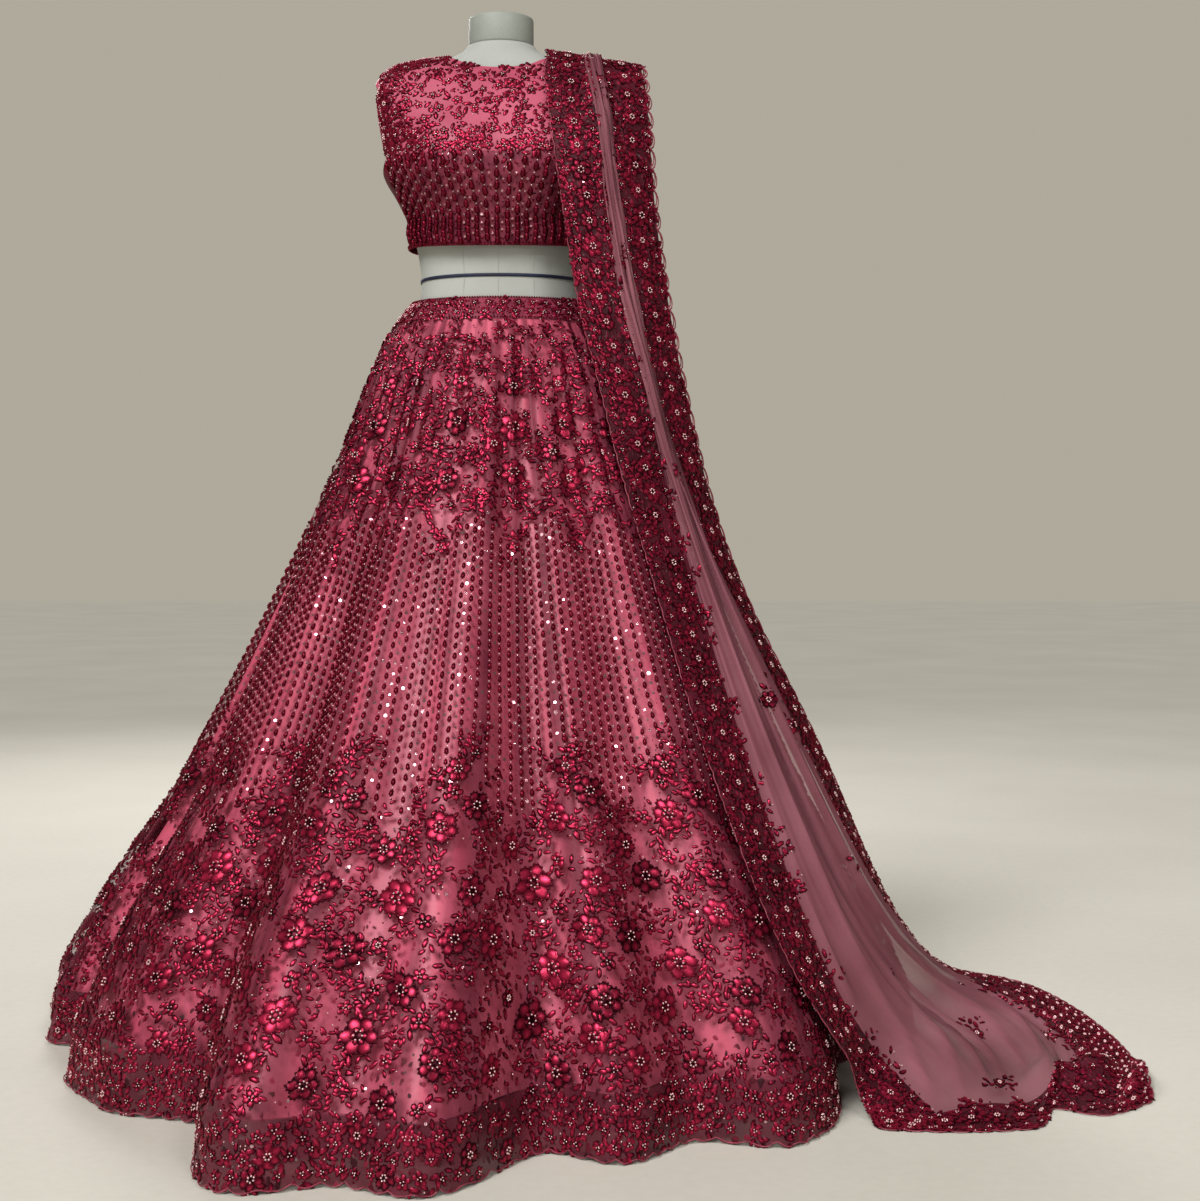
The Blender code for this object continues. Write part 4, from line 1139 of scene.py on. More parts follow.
# %% [markdown]
# ## Beads, petals and leaves
#
# The bead work is thousands of small parts of a few kinds. Each kind is modelled once with a few
# faces, and then copied on to the cloth in one mesh, turned to the cloth and given its own tone.
# Copies in one mesh are lighter than thousands of objects, and can be exported.


# %% Small shapes to sew on
def shape_of(build):
    """The points, faces and tones of a small shape, as arrays. Its tones hold any painted shade and
    highlight.
    """
    mesh_builder = bmesh.new()
    tone = mesh_builder.verts.layers.float.new("tone")
    build(mesh_builder, tone)
    bmesh.ops.recalc_face_normals(mesh_builder, faces=mesh_builder.faces)
    bmesh.ops.triangulate(mesh_builder, faces=mesh_builder.faces)
    mesh_builder.verts.index_update()
    points = np.array([vertex.co[:] for vertex in mesh_builder.verts])
    faces = np.array([[vertex.index for vertex in face.verts] for face in mesh_builder.faces])
    first, second, third = (points[faces[:, corner]] for corner in range(3))
    if np.mean(np.cross(second - first, third - first)[:, 2]) < 0:
        faces = faces[:, ::-1]
    tones = np.array([vertex[tone] for vertex in mesh_builder.verts])
    mesh_builder.free()
    return points, faces, tones


def turned(angle, axis):
    return Matrix.Rotation(angle, 4, axis)


def sized(x, y, z):
    return Matrix.Diagonal((x, y, z, 1.0))


def mound(mesh_builder, layer, sides, matrix, rim_shade_tone, peak_highlight_tone, peak_shift=0.0):
    """A pointed mound 0.5 high, no underside, painted shade at its rim. peak_shift moves its peak along +Y.
    """
    cone = {"segments": sides, "radius1": 1.0, "radius2": 0.0, "depth": 0.5}
    made = bmesh.ops.create_cone(mesh_builder, cap_ends=False, **cone)
    for vertex in made["verts"]:
        peak = vertex.co.z > 0
        # Tones by height: painted shade at the rim and a painted highlight at the peak.
        vertex[layer] = peak_highlight_tone if peak else rim_shade_tone
        vertex.co.z += 0.25
        vertex.co.y += peak_shift if peak else 0.0
    bmesh.ops.transform(mesh_builder, matrix=matrix, verts=made["verts"])


def build_round(mesh_builder, layer):
    """A round bead of radius 1 that sits on the cloth."""
    made = bmesh.ops.create_uvsphere(mesh_builder, u_segments=4, v_segments=2, radius=1.0)
    bmesh.ops.translate(mesh_builder, verts=made["verts"], vec=(0, 0, 0.6))
    for vertex in made["verts"]:
        vertex[layer] = 0.5


def build_drop(mesh_builder, layer):
    """A drop bead of length 2, fuller below its middle."""
    made = bmesh.ops.create_uvsphere(mesh_builder, u_segments=5, v_segments=3, radius=1.0)
    bmesh.ops.transform(mesh_builder, verts=made["verts"], matrix=turned(math.pi / 2, "X"))
    for vertex in made["verts"]:
        narrow = 0.62 - 0.12 * vertex.co.y
        vertex.co.x *= narrow
        vertex.co.z = vertex.co.z * narrow * 0.8 + 0.3
        # Lighter towards its crown, away from the cloth: a painted highlight.
        vertex[layer] = 0.30 + 0.25 * max(vertex.co.z - 0.3, 0.0)


def build_leaf(mesh_builder, layer):
    """A stitched leaf of length 2 with a painted highlight on its ridge."""
    mound(mesh_builder, layer, 6, sized(0.48, 1.0, 0.85), 0.04, 0.62, 0.25)


def build_sequin(mesh_builder, layer):
    """A flat round sequin of radius 1, tilted a little by its thread."""
    made = bmesh.ops.create_circle(mesh_builder, cap_ends=True, segments=6, radius=1.0)
    tilted = Matrix.Translation((0, 0, 0.35)) @ turned(0.25, "X")
    bmesh.ops.transform(mesh_builder, verts=made["verts"], matrix=tilted)
    for vertex in made["verts"]:
        vertex[layer] = 0.5


def ring_places(count, radius, rise=0.0):
    """Matrices that carry a small part to a ring, its +Y away from the middle."""
    out = Matrix.Translation((0, radius, rise))
    return [turned(2 * math.pi / count * number, "Z") @ out for number in range(count)]


def build_rose(mesh_builder, layer):
    """A large flower of radius 1: six cupped petals outlined with beads round a dark middle."""
    for place in ring_places(6, 0.58, 0.02):
        mound(mesh_builder, layer, 9, place @ sized(0.38, 0.42, 0.26), 0.06, 0.62, 0.42)
        for number in range(-2, 3):
            bead = turned(number * 0.62, "Z") @ Matrix.Translation((0, 0.40, 0.02))
            mound(mesh_builder, layer, 4, place @ bead @ sized(0.09, 0.09, 0.20), 0.05, 0.22)
    for place in ring_places(6, 0.30, 0.08):
        between = place @ turned(math.pi / 6, "Z")
        mound(mesh_builder, layer, 5, between @ sized(0.17, 0.22, 0.22), 0.04, 0.50, 0.4)
    middle = sized(0.28, 0.28, 0.22) @ Matrix.Translation((0, 0, 0.3))
    mound(mesh_builder, layer, 7, middle, 0.02, 0.12)


def build_blossom(mesh_builder, layer):
    """A small flower of radius 1: five petals round a dark middle."""
    for place in ring_places(5, 0.60):
        mound(mesh_builder, layer, 7, place @ sized(0.40, 0.44, 0.42), 0.06, 0.64, 0.35)
    mound(mesh_builder, layer, 5, sized(0.36, 0.36, 0.40), 0.02, 0.14)


def build_link(mesh_builder, layer):
    """One short length of cord, 2 long and a little over, so that links meet."""
    tube = {"segments": 6, "radius1": 0.34, "radius2": 0.34, "depth": 2.3}
    made = bmesh.ops.create_cone(mesh_builder, cap_ends=False, **tube)
    bmesh.ops.transform(mesh_builder, verts=made["verts"], matrix=turned(math.pi / 2, "X"))
    for vertex in made["verts"]:
        vertex[layer] = 0.5


BUILDERS = (build_round, build_drop, build_leaf, build_sequin, build_rose, build_blossom, build_link)
ROUND, DROP, LEAF, SEQUIN, ROSE, BLOSSOM, LINK = (shape_of(build) for build in BUILDERS)
for build, shape in zip(BUILDERS, (ROUND, DROP, LEAF, SEQUIN, ROSE, BLOSSOM, LINK)):
    print(build.__name__, "faces:", len(shape[1]))


# %% Sewing many copies on
TONE_SPREAD = 0.20
LOWEST_POINT = 0.0004


def spread_out(spots, gap):
    """The spots without those that are nearer than gap to one before them."""
    places, kept = spots.frames()[0], [0]
    for index, place in enumerate(places):
        if np.min(np.sum((places[kept] - place) ** 2, axis=1)) > gap**2:
            kept.append(index)
    return spots[kept]


class Sewing:
    """Collects copies of one small shape, and makes them one mesh. A shape that bends lies on the folds."""

    def __init__(self, shape, bends=False):
        self.shape = shape
        self.bends = bends
        self.batches = []

    def add(self, spots, size, turn=0.0, lift=0.0, tone=None):
        """size is a radius in metres and turn an angle in radians, one for all or one for each."""
        count = len(spots)
        if not count:
            return
        size, turn, lift = (np.broadcast_to(value, (count,)) for value in (size, turn, lift))
        tone = chance.random(count) if tone is None else np.broadcast_to(tone, (count,))
        make_corners = self.bent_corners if self.bends else self.flat_corners
        corners = make_corners(spots if self.bends else spots.frames(), size, turn, lift)
        kept = spots.on_cloth()
        self.batches.append((corners[kept], tone[kept]))

    def add_frames(self, frames, size):
        """Adds copies at places that are no grid's, each with its own size."""
        none = np.zeros(len(size))
        self.batches.append((self.flat_corners(frames, size, none, none), chance.random(len(size))))

    def flat_corners(self, frames, size, turn, lift):
        """The points of each copy, as stiff as a bead."""
        place, right, up, out = frames
        turn, size, lift = turn[:, None], size[:, None], lift[:, None]
        ways = (right * np.cos(turn) + up * np.sin(turn), up * np.cos(turn) - right * np.sin(turn), out)
        points = self.shape[0]
        spread = sum(points[None, :, axis, None] * (way * size)[:, None] for axis, way in enumerate(ways))
        return (place + out * lift)[:, None] + spread

    def bent_corners(self, spots, size, turn, lift):
        """The points of each copy, each laid on the cloth where it comes."""
        points = self.shape[0]
        turn, size = turn[:, None], size[:, None]
        across = size * (np.cos(turn) * points[:, 0] - np.sin(turn) * points[:, 1])
        along = size * (np.sin(turn) * points[:, 0] + np.cos(turn) * points[:, 1])
        place, _, _, out = spots.repeated(len(points)).moved(across.ravel(), along.ravel()).frames()
        rise = lift[:, None] + size * points[:, 2]
        return (place + out * rise.reshape(-1, 1)).reshape(len(spots), len(points), 3)

    def make(self, name, material):
        """Makes the mesh, lets it ride on the part, and returns its number of triangles."""
        points, faces, tones = self.shape
        corners, tone = (np.concatenate(parts) for parts in zip(*self.batches))
        corners[:, :, 2] = np.maximum(corners[:, :, 2], LOWEST_POINT)
        offsets = np.arange(len(corners))[:, None, None] * len(points)
        mesh = bpy.data.meshes.new(name)
        mesh.from_pydata(corners.reshape(-1, 3), [], (faces[None] + offsets).reshape(-1, 3))
        mesh.shade_smooth()
        values = mesh.attributes.new("tone", "FLOAT", "POINT")
        # Each shape's painted shade and highlight, moved by the copy's own random tone.
        shades = np.clip(tones[None] + (tone[:, None] - 0.5) * TONE_SPREAD, 0, 1)
        values.data.foreach_set("value", shades.reshape(-1))
        mesh.materials.append(material)
        made = placed(name, mesh)
        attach(made, "root")
        print(f"{name}: {len(corners)} sewn on, {len(mesh.polygons)} triangles")
        return len(mesh.polygons)


class Workbox:
    """The kinds of bead for one garment, each in its own sewing."""

    def __init__(self, label):
        self.label = label
        self.rose, self.blossom, self.leaf = Sewing(ROSE, True), Sewing(BLOSSOM, True), Sewing(LEAF)
        self.wine, self.pale, self.drop, self.sequin = map(Sewing, (ROUND, ROUND, DROP, SEQUIN))

    def make(self):
        """Makes a piece of each kind that was used, and returns their triangles."""
        kinds = (
            (self.rose, "roses", rose_petal),
            (self.blossom, "blossoms", rose_petal),
            (self.leaf, "leaves", rose_petal),
            (self.wine, "wine_beads", wine_bead),
            (self.pale, "pale_beads", pale_bead),
            (self.drop, "drop_beads", wine_bead),
            (self.sequin, "sequins", sequin_foil),
        )
        used = [kind for kind in kinds if kind[0].batches]
        return sum(sewing.make(f"{self.label}_{kind}", material) for sewing, kind, material in used)


# %% Sprays of leaves
# Radii of the beads that come often, and how far small parts are lifted off the cloth.
PALE_BEAD = 0.0013
SMALL_WINE_BEAD = 0.0011
WINE_BEAD = 0.0016
LARGE_WINE_BEAD = 0.0018
BEAD_LIFT = 0.0002
LEAF_LIFT = 0.0003


def around(count):
    """Random angles."""
    return chance.uniform(0, 2 * math.pi, count)


def sew_sprays(box, spots, heading, leaves, size):
    """Curved stems with leaves on both sides and a bead at the tip. heading is an angle from up."""
    bend = chance.uniform(-0.30, 0.30, len(spots))
    across, along = np.zeros(len(spots)), np.zeros(len(spots))
    for number in range(leaves):
        turn = heading + bend * number
        across, along = across + np.sin(turn) * size * 0.95, along + np.cos(turn) * size * 0.95
        side = 1.0 if number % 2 else -1.0
        beside = side * size * 0.6
        place = spots.moved(across + np.cos(turn) * beside, along - np.sin(turn) * beside)
        wander = chance.normal(0, 0.15, len(spots))
        sizes = size * chance.uniform(0.75, 1.1, len(spots)) * (1 - 0.06 * number)
        box.leaf.add(place, sizes, -(turn + side * 0.75 + wander), LEAF_LIFT)
    tips = spots.moved(across * 1.12, along * 1.12)
    box.pale.add(tips[::2], PALE_BEAD, lift=BEAD_LIFT)
    box.wine.add(tips[1::2], LARGE_WINE_BEAD, lift=BEAD_LIFT)


# %% Flowers with sprays
ROSE_LEAST = 0.0125
PETAL_LIFT = 0.0006


def ring_of(spots, count, away, turns):
    """Spots in a ring of this many round each spot."""
    return spots.repeated(count).moved(away * np.cos(turns), away * np.sin(turns))


def sew_flowers(box, spots, radius, sprays=2, leaves=4, beads=4):
    """Roses where the radius is large and blossoms elsewhere, with sprays and beads round them."""
    radius = np.broadcast_to(np.asarray(radius, float), (len(spots),))
    large = radius >= ROSE_LEAST
    for sewing, chosen, ring, stamen in ((box.rose, large, 6, 0.0016), (box.blossom, ~large, 3, 0.0012)):
        here, reach = spots[chosen], radius[chosen]
        if not len(here):
            continue
        sewing.add(here, reach, around(len(here)), PETAL_LIFT)
        evenly_round = np.tile(np.arange(ring) * 2 * math.pi / ring, len(here))
        turns = evenly_round + np.repeat(around(len(here)), ring)
        centre = ring_of(here, ring, np.repeat(reach, ring) * 0.24, turns)
        box.pale.add(centre, stamen, lift=np.repeat(reach, ring) * 0.16)
    for _ in range(sprays):
        heading = around(len(spots))
        start = spots.moved(radius * 0.9 * np.sin(heading), radius * 0.9 * np.cos(heading))
        sew_sprays(box, start, heading, leaves, 0.0074 + 0.06 * radius.mean())
    turns = around(len(spots) * beads)
    away = np.repeat(radius, beads) * chance.uniform(1.05, 1.7, len(turns))
    box.wine.add(ring_of(spots, beads, away, turns), WINE_BEAD, lift=BEAD_LIFT)


# %% [markdown]
# ## The skirt's embroidery
#
# The pattern repeats on each gore. From the waist down it has flowers in steps, a garland that hangs
# in points, long rows of drop beads, and then a deep band of flowers that gets denser towards the hem.

# %% Places on the skirt
GORE_ANGLE = 360.0 / GORES
GORE_MIDDLES = FIRST_SEAM + GORE_ANGLE * (np.arange(GORES) + 0.5)
skirt_work = Workbox("skirt")
hem_work = Workbox("hem")


def on_skirt(azimuth, height):
    """Places on the net for arrays of azimuths in degrees and heights in metres."""
    azimuth, height = np.broadcast_arrays(np.asarray(azimuth, float), np.asarray(height, float))
    rows = np.interp(-height, -skirt_heights, np.arange(len(skirt_heights)))
    return Spots(skirt_surface, rows, (azimuth - FIRST_SEAM) / 360 * SKIRT_COLUMNS)


def sew_on_gores(box, table, **how):
    """Flowers of a table of (share, height, radius) on every gore, each a little out of place."""
    count = len(table) * GORES
    share, height, radius = (np.tile(column, GORES) for column in np.array(table).T)
    share = share + chance.normal(0, 0.022, count)
    height = height + chance.normal(0, 0.004, count)
    radius = radius * chance.uniform(0.9, 1.1, count)
    azimuth = np.repeat(GORE_MIDDLES, len(table)) + share * GORE_ANGLE
    sew_flowers(box, on_skirt(azimuth, height), radius, **how)

# %% Flowers in the upper part
# share of the gore from its middle, height, radius
UPPER_ROSES = [
    (0.00, 1.000, 0.0160),
    (0.00, 0.942, 0.0225),
    (-0.02, 0.868, 0.0205),
    (-0.32, 0.902, 0.0150),
]
UPPER_BLOSSOMS = [
    (0.02, 1.066, 0.0080),
    (-0.30, 1.076, 0.0070),
    (0.34, 1.072, 0.0072),
    (-0.40, 1.038, 0.0082),
    (0.30, 1.030, 0.0085),
    (-0.14, 1.030, 0.0080),
    (0.42, 0.985, 0.0085),
    (-0.34, 0.975, 0.0088),
    (0.28, 0.955, 0.0085),
    (-0.48, 0.935, 0.0080),
    (0.30, 0.905, 0.0090),
    (0.46, 0.875, 0.0085),
    (-0.26, 0.862, 0.0085),
    (0.24, 0.850, 0.0090),
    (-0.46, 0.846, 0.0085),
    (0.06, 0.830, 0.0090),
]
sew_on_gores(skirt_work, UPPER_ROSES, sprays=4, leaves=5, beads=5)
sew_on_gores(skirt_work, UPPER_BLOSSOMS, sprays=2, leaves=4, beads=2)

# %% A garland that hangs in points
GARLAND_TOP = 0.835
GARLAND_DROP = 0.066
GARLAND_STEPS = 18
steps = (np.arange(GARLAND_STEPS) + 0.5) / GARLAND_STEPS - 0.5
share = np.tile(steps, GORES)
azimuth = np.repeat(GORE_MIDDLES, GARLAND_STEPS) + share * GORE_ANGLE
for shift, lean in ((0.006, 0.9), (-0.004, -0.9)):
    height = GARLAND_TOP - GARLAND_DROP * (1 - np.abs(2 * share)) ** 1.2 + shift
    turn = np.sign(share) * 0.6 + lean + chance.normal(0, 0.6, len(share))
    height = height + chance.normal(0, 0.006, len(share))
    size = chance.uniform(0.0060, 0.0080, len(share))
    skirt_work.leaf.add(on_skirt(azimuth, height), size, turn, LEAF_LIFT)
    skirt_work.wine.add(on_skirt(azimuth, height - 0.006)[::2], WINE_BEAD)
tips = on_skirt(GORE_MIDDLES, GARLAND_TOP - GARLAND_DROP - 0.004)
sew_flowers(skirt_work, tips, 0.0095, sprays=2, leaves=3, beads=4)

# %% Rows of drop beads
BEAD_PITCH = 0.0134
ROW_BOTTOM = 0.405
CLUSTER_RISE = 0.085
ROW_ANGLE = 360.0 / BEAD_ROWS
GLINTS_IN_ROW = (0.45, 0.90, 0.45)


def from_seam(azimuth):
    """0 at the middle of a gore and 1 at its seams."""
    return np.abs(((azimuth - FIRST_SEAM) / GORE_ANGLE) % 1.0 - 0.5) * 2


def rows_end(azimuth):
    """The height where the rows of beads give way to flowers, lowest at the middle of a gore."""
    return ROW_BOTTOM + CLUSTER_RISE * from_seam(azimuth) ** 1.3


for number in range(BEAD_ROWS):
    azimuth = FIRST_SEAM + (number + 0.5) * ROW_ANGLE
    top = GARLAND_TOP - GARLAND_DROP * (1 - from_seam(azimuth)) ** 1.2 - 0.020
    bottom = rows_end(azimuth) + 0.02 * math.sin(number * 2.1)
    heights = np.arange(top, bottom, -BEAD_PITCH) - 0.004 * (number % 3)
    line = azimuth + 0.12 * np.sin(heights * 23 + number) + chance.normal(0, 0.03, len(heights))
    size, turn = chance.uniform(0.0050, 0.0060, len(heights)), chance.normal(0, 0.12, len(heights))
    skirt_work.drop.add(on_skirt(line, heights), size, turn, LEAF_LIFT)
    skirt_work.pale.add(on_skirt(line, heights - BEAD_PITCH / 2), PALE_BEAD, lift=LEAF_LIFT)
    beside = on_skirt(line + ROW_ANGLE / 2, heights + 0.003)
    glinting = chance.random(len(heights)) < GLINTS_IN_ROW[number % 3]
    glints, others = beside[glinting], beside[~glinting][::2]
    skirt_work.sequin.add(glints, chance.uniform(0.0015, 0.0028, len(glints)), around(len(glints)))
    skirt_work.wine.add(others, SMALL_WINE_BEAD, lift=BEAD_LIFT)

# %% Flowers down to the hem
# share of the gore from its middle, height, radius
LOWER_ROSES = [
    (0.46, 0.470, 0.0180),
    (-0.36, 0.438, 0.0200),
    (0.34, 0.405, 0.0240),
    (-0.10, 0.372, 0.0200),
    (0.10, 0.325, 0.0265),
    (-0.42, 0.330, 0.0225),
    (0.46, 0.280, 0.0230),
    (-0.20, 0.262, 0.0240),
    (0.22, 0.222, 0.0240),
    (-0.46, 0.195, 0.0230),
    (0.00, 0.168, 0.0265),
    (0.42, 0.150, 0.0210),
    (-0.26, 0.118, 0.0220),
    (0.18, 0.098, 0.0190),
]
LOWER_BLOSSOMS = [
    (-0.46, 0.492, 0.0110),
    (0.38, 0.448, 0.0115),
    (-0.22, 0.410, 0.0115),
    (0.16, 0.395, 0.0110),
    (-0.30, 0.382, 0.0105),
    (0.30, 0.355, 0.0115),
    (-0.16, 0.318, 0.0120),
    (0.30, 0.300, 0.0115),
    (-0.34, 0.285, 0.0110),
    (0.04, 0.268, 0.0120),
    (0.34, 0.245, 0.0105),
    (-0.38, 0.235, 0.0115),
    (0.02, 0.216, 0.0110),
    (-0.14, 0.200, 0.0115),
    (0.32, 0.185, 0.0110),
    (-0.30, 0.165, 0.0115),
    (0.16, 0.140, 0.0110),
    (-0.10, 0.118, 0.0105),
    (0.36, 0.104, 0.0110),
    (-0.44, 0.112, 0.0110),
    (0.00, 0.078, 0.0105),
    (-0.36, 0.072, 0.0110),
    (0.38, 0.066, 0.0105),
]
sew_on_gores(hem_work, LOWER_ROSES, sprays=3, leaves=6, beads=4)
sew_on_gores(hem_work, LOWER_BLOSSOMS, sprays=2, leaves=4, beads=2)

# %% Small work between the flowers and along the hem
SCATTERED = 900
SCATTERED_SPRAYS = 560
azimuth = chance.uniform(0, 360, SCATTERED)
height = 0.03 + (rows_end(azimuth) - 0.03) * chance.random(SCATTERED)
spots = on_skirt(azimuth, height)
sew_sprays(hem_work, spots[:SCATTERED_SPRAYS], around(SCATTERED_SPRAYS), 5, 0.0078)
hem_work.pale.add(spots[SCATTERED_SPRAYS:], PALE_BEAD, lift=BEAD_LIFT)
beside = on_skirt(azimuth + 1.0, height)
hem_work.sequin.add(beside, chance.uniform(0.0015, 0.0024, SCATTERED), around(SCATTERED))

HEM_BLOSSOMS = 198
HEM_ROSE_SHARE = 0.16
for row, base in enumerate((0.018, 0.042, 0.066)):
    azimuth = FIRST_SEAM + (np.arange(HEM_BLOSSOMS) + 0.5 * row) * 360.0 / HEM_BLOSSOMS
    azimuth = azimuth + chance.normal(0, 0.2, HEM_BLOSSOMS)
    spots = on_skirt(azimuth, base + chance.normal(0, 0.0030, HEM_BLOSSOMS))
    larger = chance.random(HEM_BLOSSOMS) < HEM_ROSE_SHARE
    radius = np.where(larger, 0.0155, chance.uniform(0.0078, 0.0100, HEM_BLOSSOMS))
    sew_flowers(hem_work, spots, radius, sprays=1, leaves=2, beads=1)

# %% [markdown]
# ## Embroidery of the waistband and the choli
#
# The waistband is covered with small flowers. The choli has loose sprays on its pink yoke, a garland
# across the bust, and below that the same rows of drop beads as the skirt.


# %% The waistband's flowers
def on_band(azimuth, share):
    """Places on the waistband, share 0 at its seam and 1 at its top."""
    shares = [row_share for row_share, plump in BAND_PROFILE[:0:-1]]
    row = np.interp(share, shares, np.arange(len(shares), 0, -1))
    return Spots(band_surface, row, azimuth / 360 * BAND_COLUMNS)


choli_work = Workbox("choli")
for share, count in ((0.28, 44), (0.70, 42)):
    azimuth = np.arange(count) * 360.0 / count + share * 5
    radius = chance.uniform(0.0070, 0.0092, count)
    sew_flowers(choli_work, on_band(azimuth, share), radius, sprays=1, leaves=2, beads=3)
BAND_BEADS = 220
for share in (0.04, 0.97):
    choli_work.wine.add(on_band(evenly(BAND_BEADS), share), LARGE_WINE_BEAD, lift=BEAD_LIFT)


# %% Places on the choli
def on_choli(angle, share):
    """angle in degrees from the front, + towards +X. share is 0 at the hem and 1 at the neck."""
    rows, columns = np.broadcast_arrays(1 - np.asarray(share, float), np.asarray(angle, float))
    return Spots(choli_surface, rows * (CHOLI_ROWS - 1), ((columns + 180) % 360) / 360 * CHOLI_SPANS)


def on_embroidered(angle, share):
    """The places that lie clear of the plain side panels and of the armholes."""
    angle, share = np.broadcast_arrays(np.asarray(angle, float), np.asarray(share, float))
    off_side = np.abs(np.abs((angle + 180) % 360 - 180) - 90)
    kept = off_side > np.where(share > 0.72, 3, 17)
    return on_choli(angle[kept], share[kept])


# %% Rows of beads on the choli
YOKE = 0.46
ROW_TURN = 5.4
DROP_STEP = 0.046
CHOLI_LIFT = 0.0003
DROP_LIFT = 0.0004
for side in (0, 180):
    for number in range(-13, 14):
        shares = np.arange(0.035, YOKE - 0.02, DROP_STEP) + (number % 2) * DROP_STEP / 2
        angle = side + number * ROW_TURN + chance.normal(0, 0.15, len(shares))
        drops = on_embroidered(angle, shares)
        size, turn = chance.uniform(0.0070, 0.0080, len(drops)), chance.normal(0, 0.1, len(drops))
        choli_work.drop.add(drops, size, turn, DROP_LIFT)
        choli_work.pale.add(on_embroidered(angle, shares + DROP_STEP / 2), 0.0015, lift=DROP_LIFT)
        beside = on_embroidered(angle + ROW_TURN / 2, shares + 0.01)
        choli_work.wine.add(beside, WINE_BEAD, lift=CHOLI_LIFT)
        glints = on_embroidered(angle + ROW_TURN / 2, shares + DROP_STEP / 2)
        glints = glints[chance.random(len(glints)) < 0.7]
        choli_work.sequin.add(glints, chance.uniform(0.0014, 0.0022, len(glints)), around(len(glints)))

# %% Sprays, garland and edges of the choli
YOKE_TRIES = 1500
SIDE_FLOWERS = 40
OPENING_BEADS = 110
EDGE_BEADS = 200
for side in (0, 180):
    for share, count, radius in ((YOKE, 28, 0.0085), (YOKE + 0.05, 24, 0.0075)):
        angle = side + np.linspace(-64, 64, count) + chance.normal(0, 0.8, count)
        spots = on_embroidered(angle, share + chance.normal(0, 0.008, count))
        sew_flowers(choli_work, spots, radius, sprays=2, leaves=3, beads=4)
    angle, share = chance.uniform(-62, 62, YOKE_TRIES), chance.uniform(YOKE + 0.09, 0.95, YOKE_TRIES)
    spots = spread_out(on_embroidered(side + angle, share), 0.0225)
    sew_flowers(choli_work, spots, chance.uniform(0.0058, 0.0090, len(spots)), sprays=2, leaves=3, beads=2)
    for edge in (-1, 1):
        share = np.linspace(0.50, 0.97, SIDE_FLOWERS)
        slant = np.interp(share, [0.5, 0.75, 1.0], [62, 72, 85]) + chance.normal(0, 4.0, SIDE_FLOWERS)
        spots = on_embroidered(side + edge * slant, share)
        radius = chance.uniform(0.0080, 0.0135, len(spots))
        sew_flowers(choli_work, spots, radius, sprays=2, leaves=4, beads=4)
choli_work.wine.add(on_choli(180, np.linspace(0.02, 0.97, OPENING_BEADS)), 0.0017, lift=CHOLI_LIFT)
for share in (0.008, 0.022):
    choli_work.wine.add(on_choli(evenly(EDGE_BEADS), share), 0.0021, lift=CHOLI_LIFT)

# %% [markdown]
# ## The dupatta's borders
#
# The borders are the densest work of all: flowers side by side, leaves between them, and a corded
# scallop outside the cloth's edge. A few small flowers are scattered on the net.

# %% Flowers along the two long borders
dupatta_work = Workbox("dupatta")
LAST_COLUMN = D_COLUMNS - 1
LAST_ROW = D_ROWS - 1


def on_dupatta(rows, columns):
    return Spots(dupatta_surface, rows, columns)


def spaced(line, spacing):
    """Places between the points of a line, as evenly spaced as this."""
    length = lengths_along(line)
    return np.interp(np.arange(spacing / 2, length[-1], spacing), length, np.arange(len(line)))


def sew_leaves(spots):
    """Single leaves, turned any way."""
    dupatta_work.leaf.add(spots, chance.uniform(0.0055, 0.0075, len(spots)), around(len(spots)), LEAF_LIFT)


# share of the border from the sheet's edge, spacing, radius
BORDER_LINES = [(0.16, 0.026, 0.0085), (0.50, 0.037, 0.0150), (0.86, 0.027, 0.0085)]
BORDER_SCATTER = 1100
BORDER_LEAVES = 500
BORDER_BEADS = 400
for outer in (False, True):
    for place, spacing, radius in BORDER_LINES:
        column = LAST_COLUMN - place * BORDER_SPAN if outer else place * BORDER_SPAN
        rows = spaced(dupatta_points[:, int(column)], spacing)
        spots = on_dupatta(rows, column + chance.normal(0, 0.4, len(rows)))
        radius = radius * chance.uniform(0.86, 1.14, len(rows))
        sew_flowers(dupatta_work, spots, radius, sprays=2, leaves=3, beads=3)
    columns = chance.uniform(0.3, BORDER_SPAN, BORDER_SCATTER)
    rows = chance.uniform(0, D_ROWS - 2, BORDER_SCATTER)
    spots = on_dupatta(rows, LAST_COLUMN - columns if outer else columns)
    sew_leaves(spots[:BORDER_LEAVES])
    others = spots[BORDER_LEAVES:]
    dupatta_work.wine.add(others[:BORDER_BEADS], WINE_BEAD, lift=BEAD_LIFT)
    sequins = others[BORDER_BEADS:]
    dupatta_work.sequin.add(sequins, 0.0018, around(len(sequins)))

# %% End borders and scattered flowers
for first, last in ((0, END_SPAN), (LAST_ROW - END_SPAN, LAST_ROW)):
    for share, spacing, radius in BORDER_LINES:
        row = first + (last - first) * share
        columns = spaced(dupatta_points[int(row)], spacing)
        sew_flowers(dupatta_work, on_dupatta(row, columns), radius, sprays=2, leaves=3)

# share of the length, share of the net's width
NET_BUTTIS = [
    (0.08, 0.30), (0.16, 0.62), (0.24, 0.40), (0.34, 0.65), (0.45, 0.60),
    (0.56, 0.35), (0.655, 0.52), (0.665, 0.86), (0.735, 0.60), (0.79, 0.30),
    (0.83, 0.66), (0.875, 0.42), (0.91, 0.70), (0.94, 0.30),
]
down, across = np.array(NET_BUTTIS).T
spots = on_dupatta(down * LAST_ROW, BORDER_SPAN + (LAST_COLUMN - 2 * BORDER_SPAN) * across)
sew_flowers(dupatta_work, spots, 0.0135, sprays=3, leaves=3, beads=5)

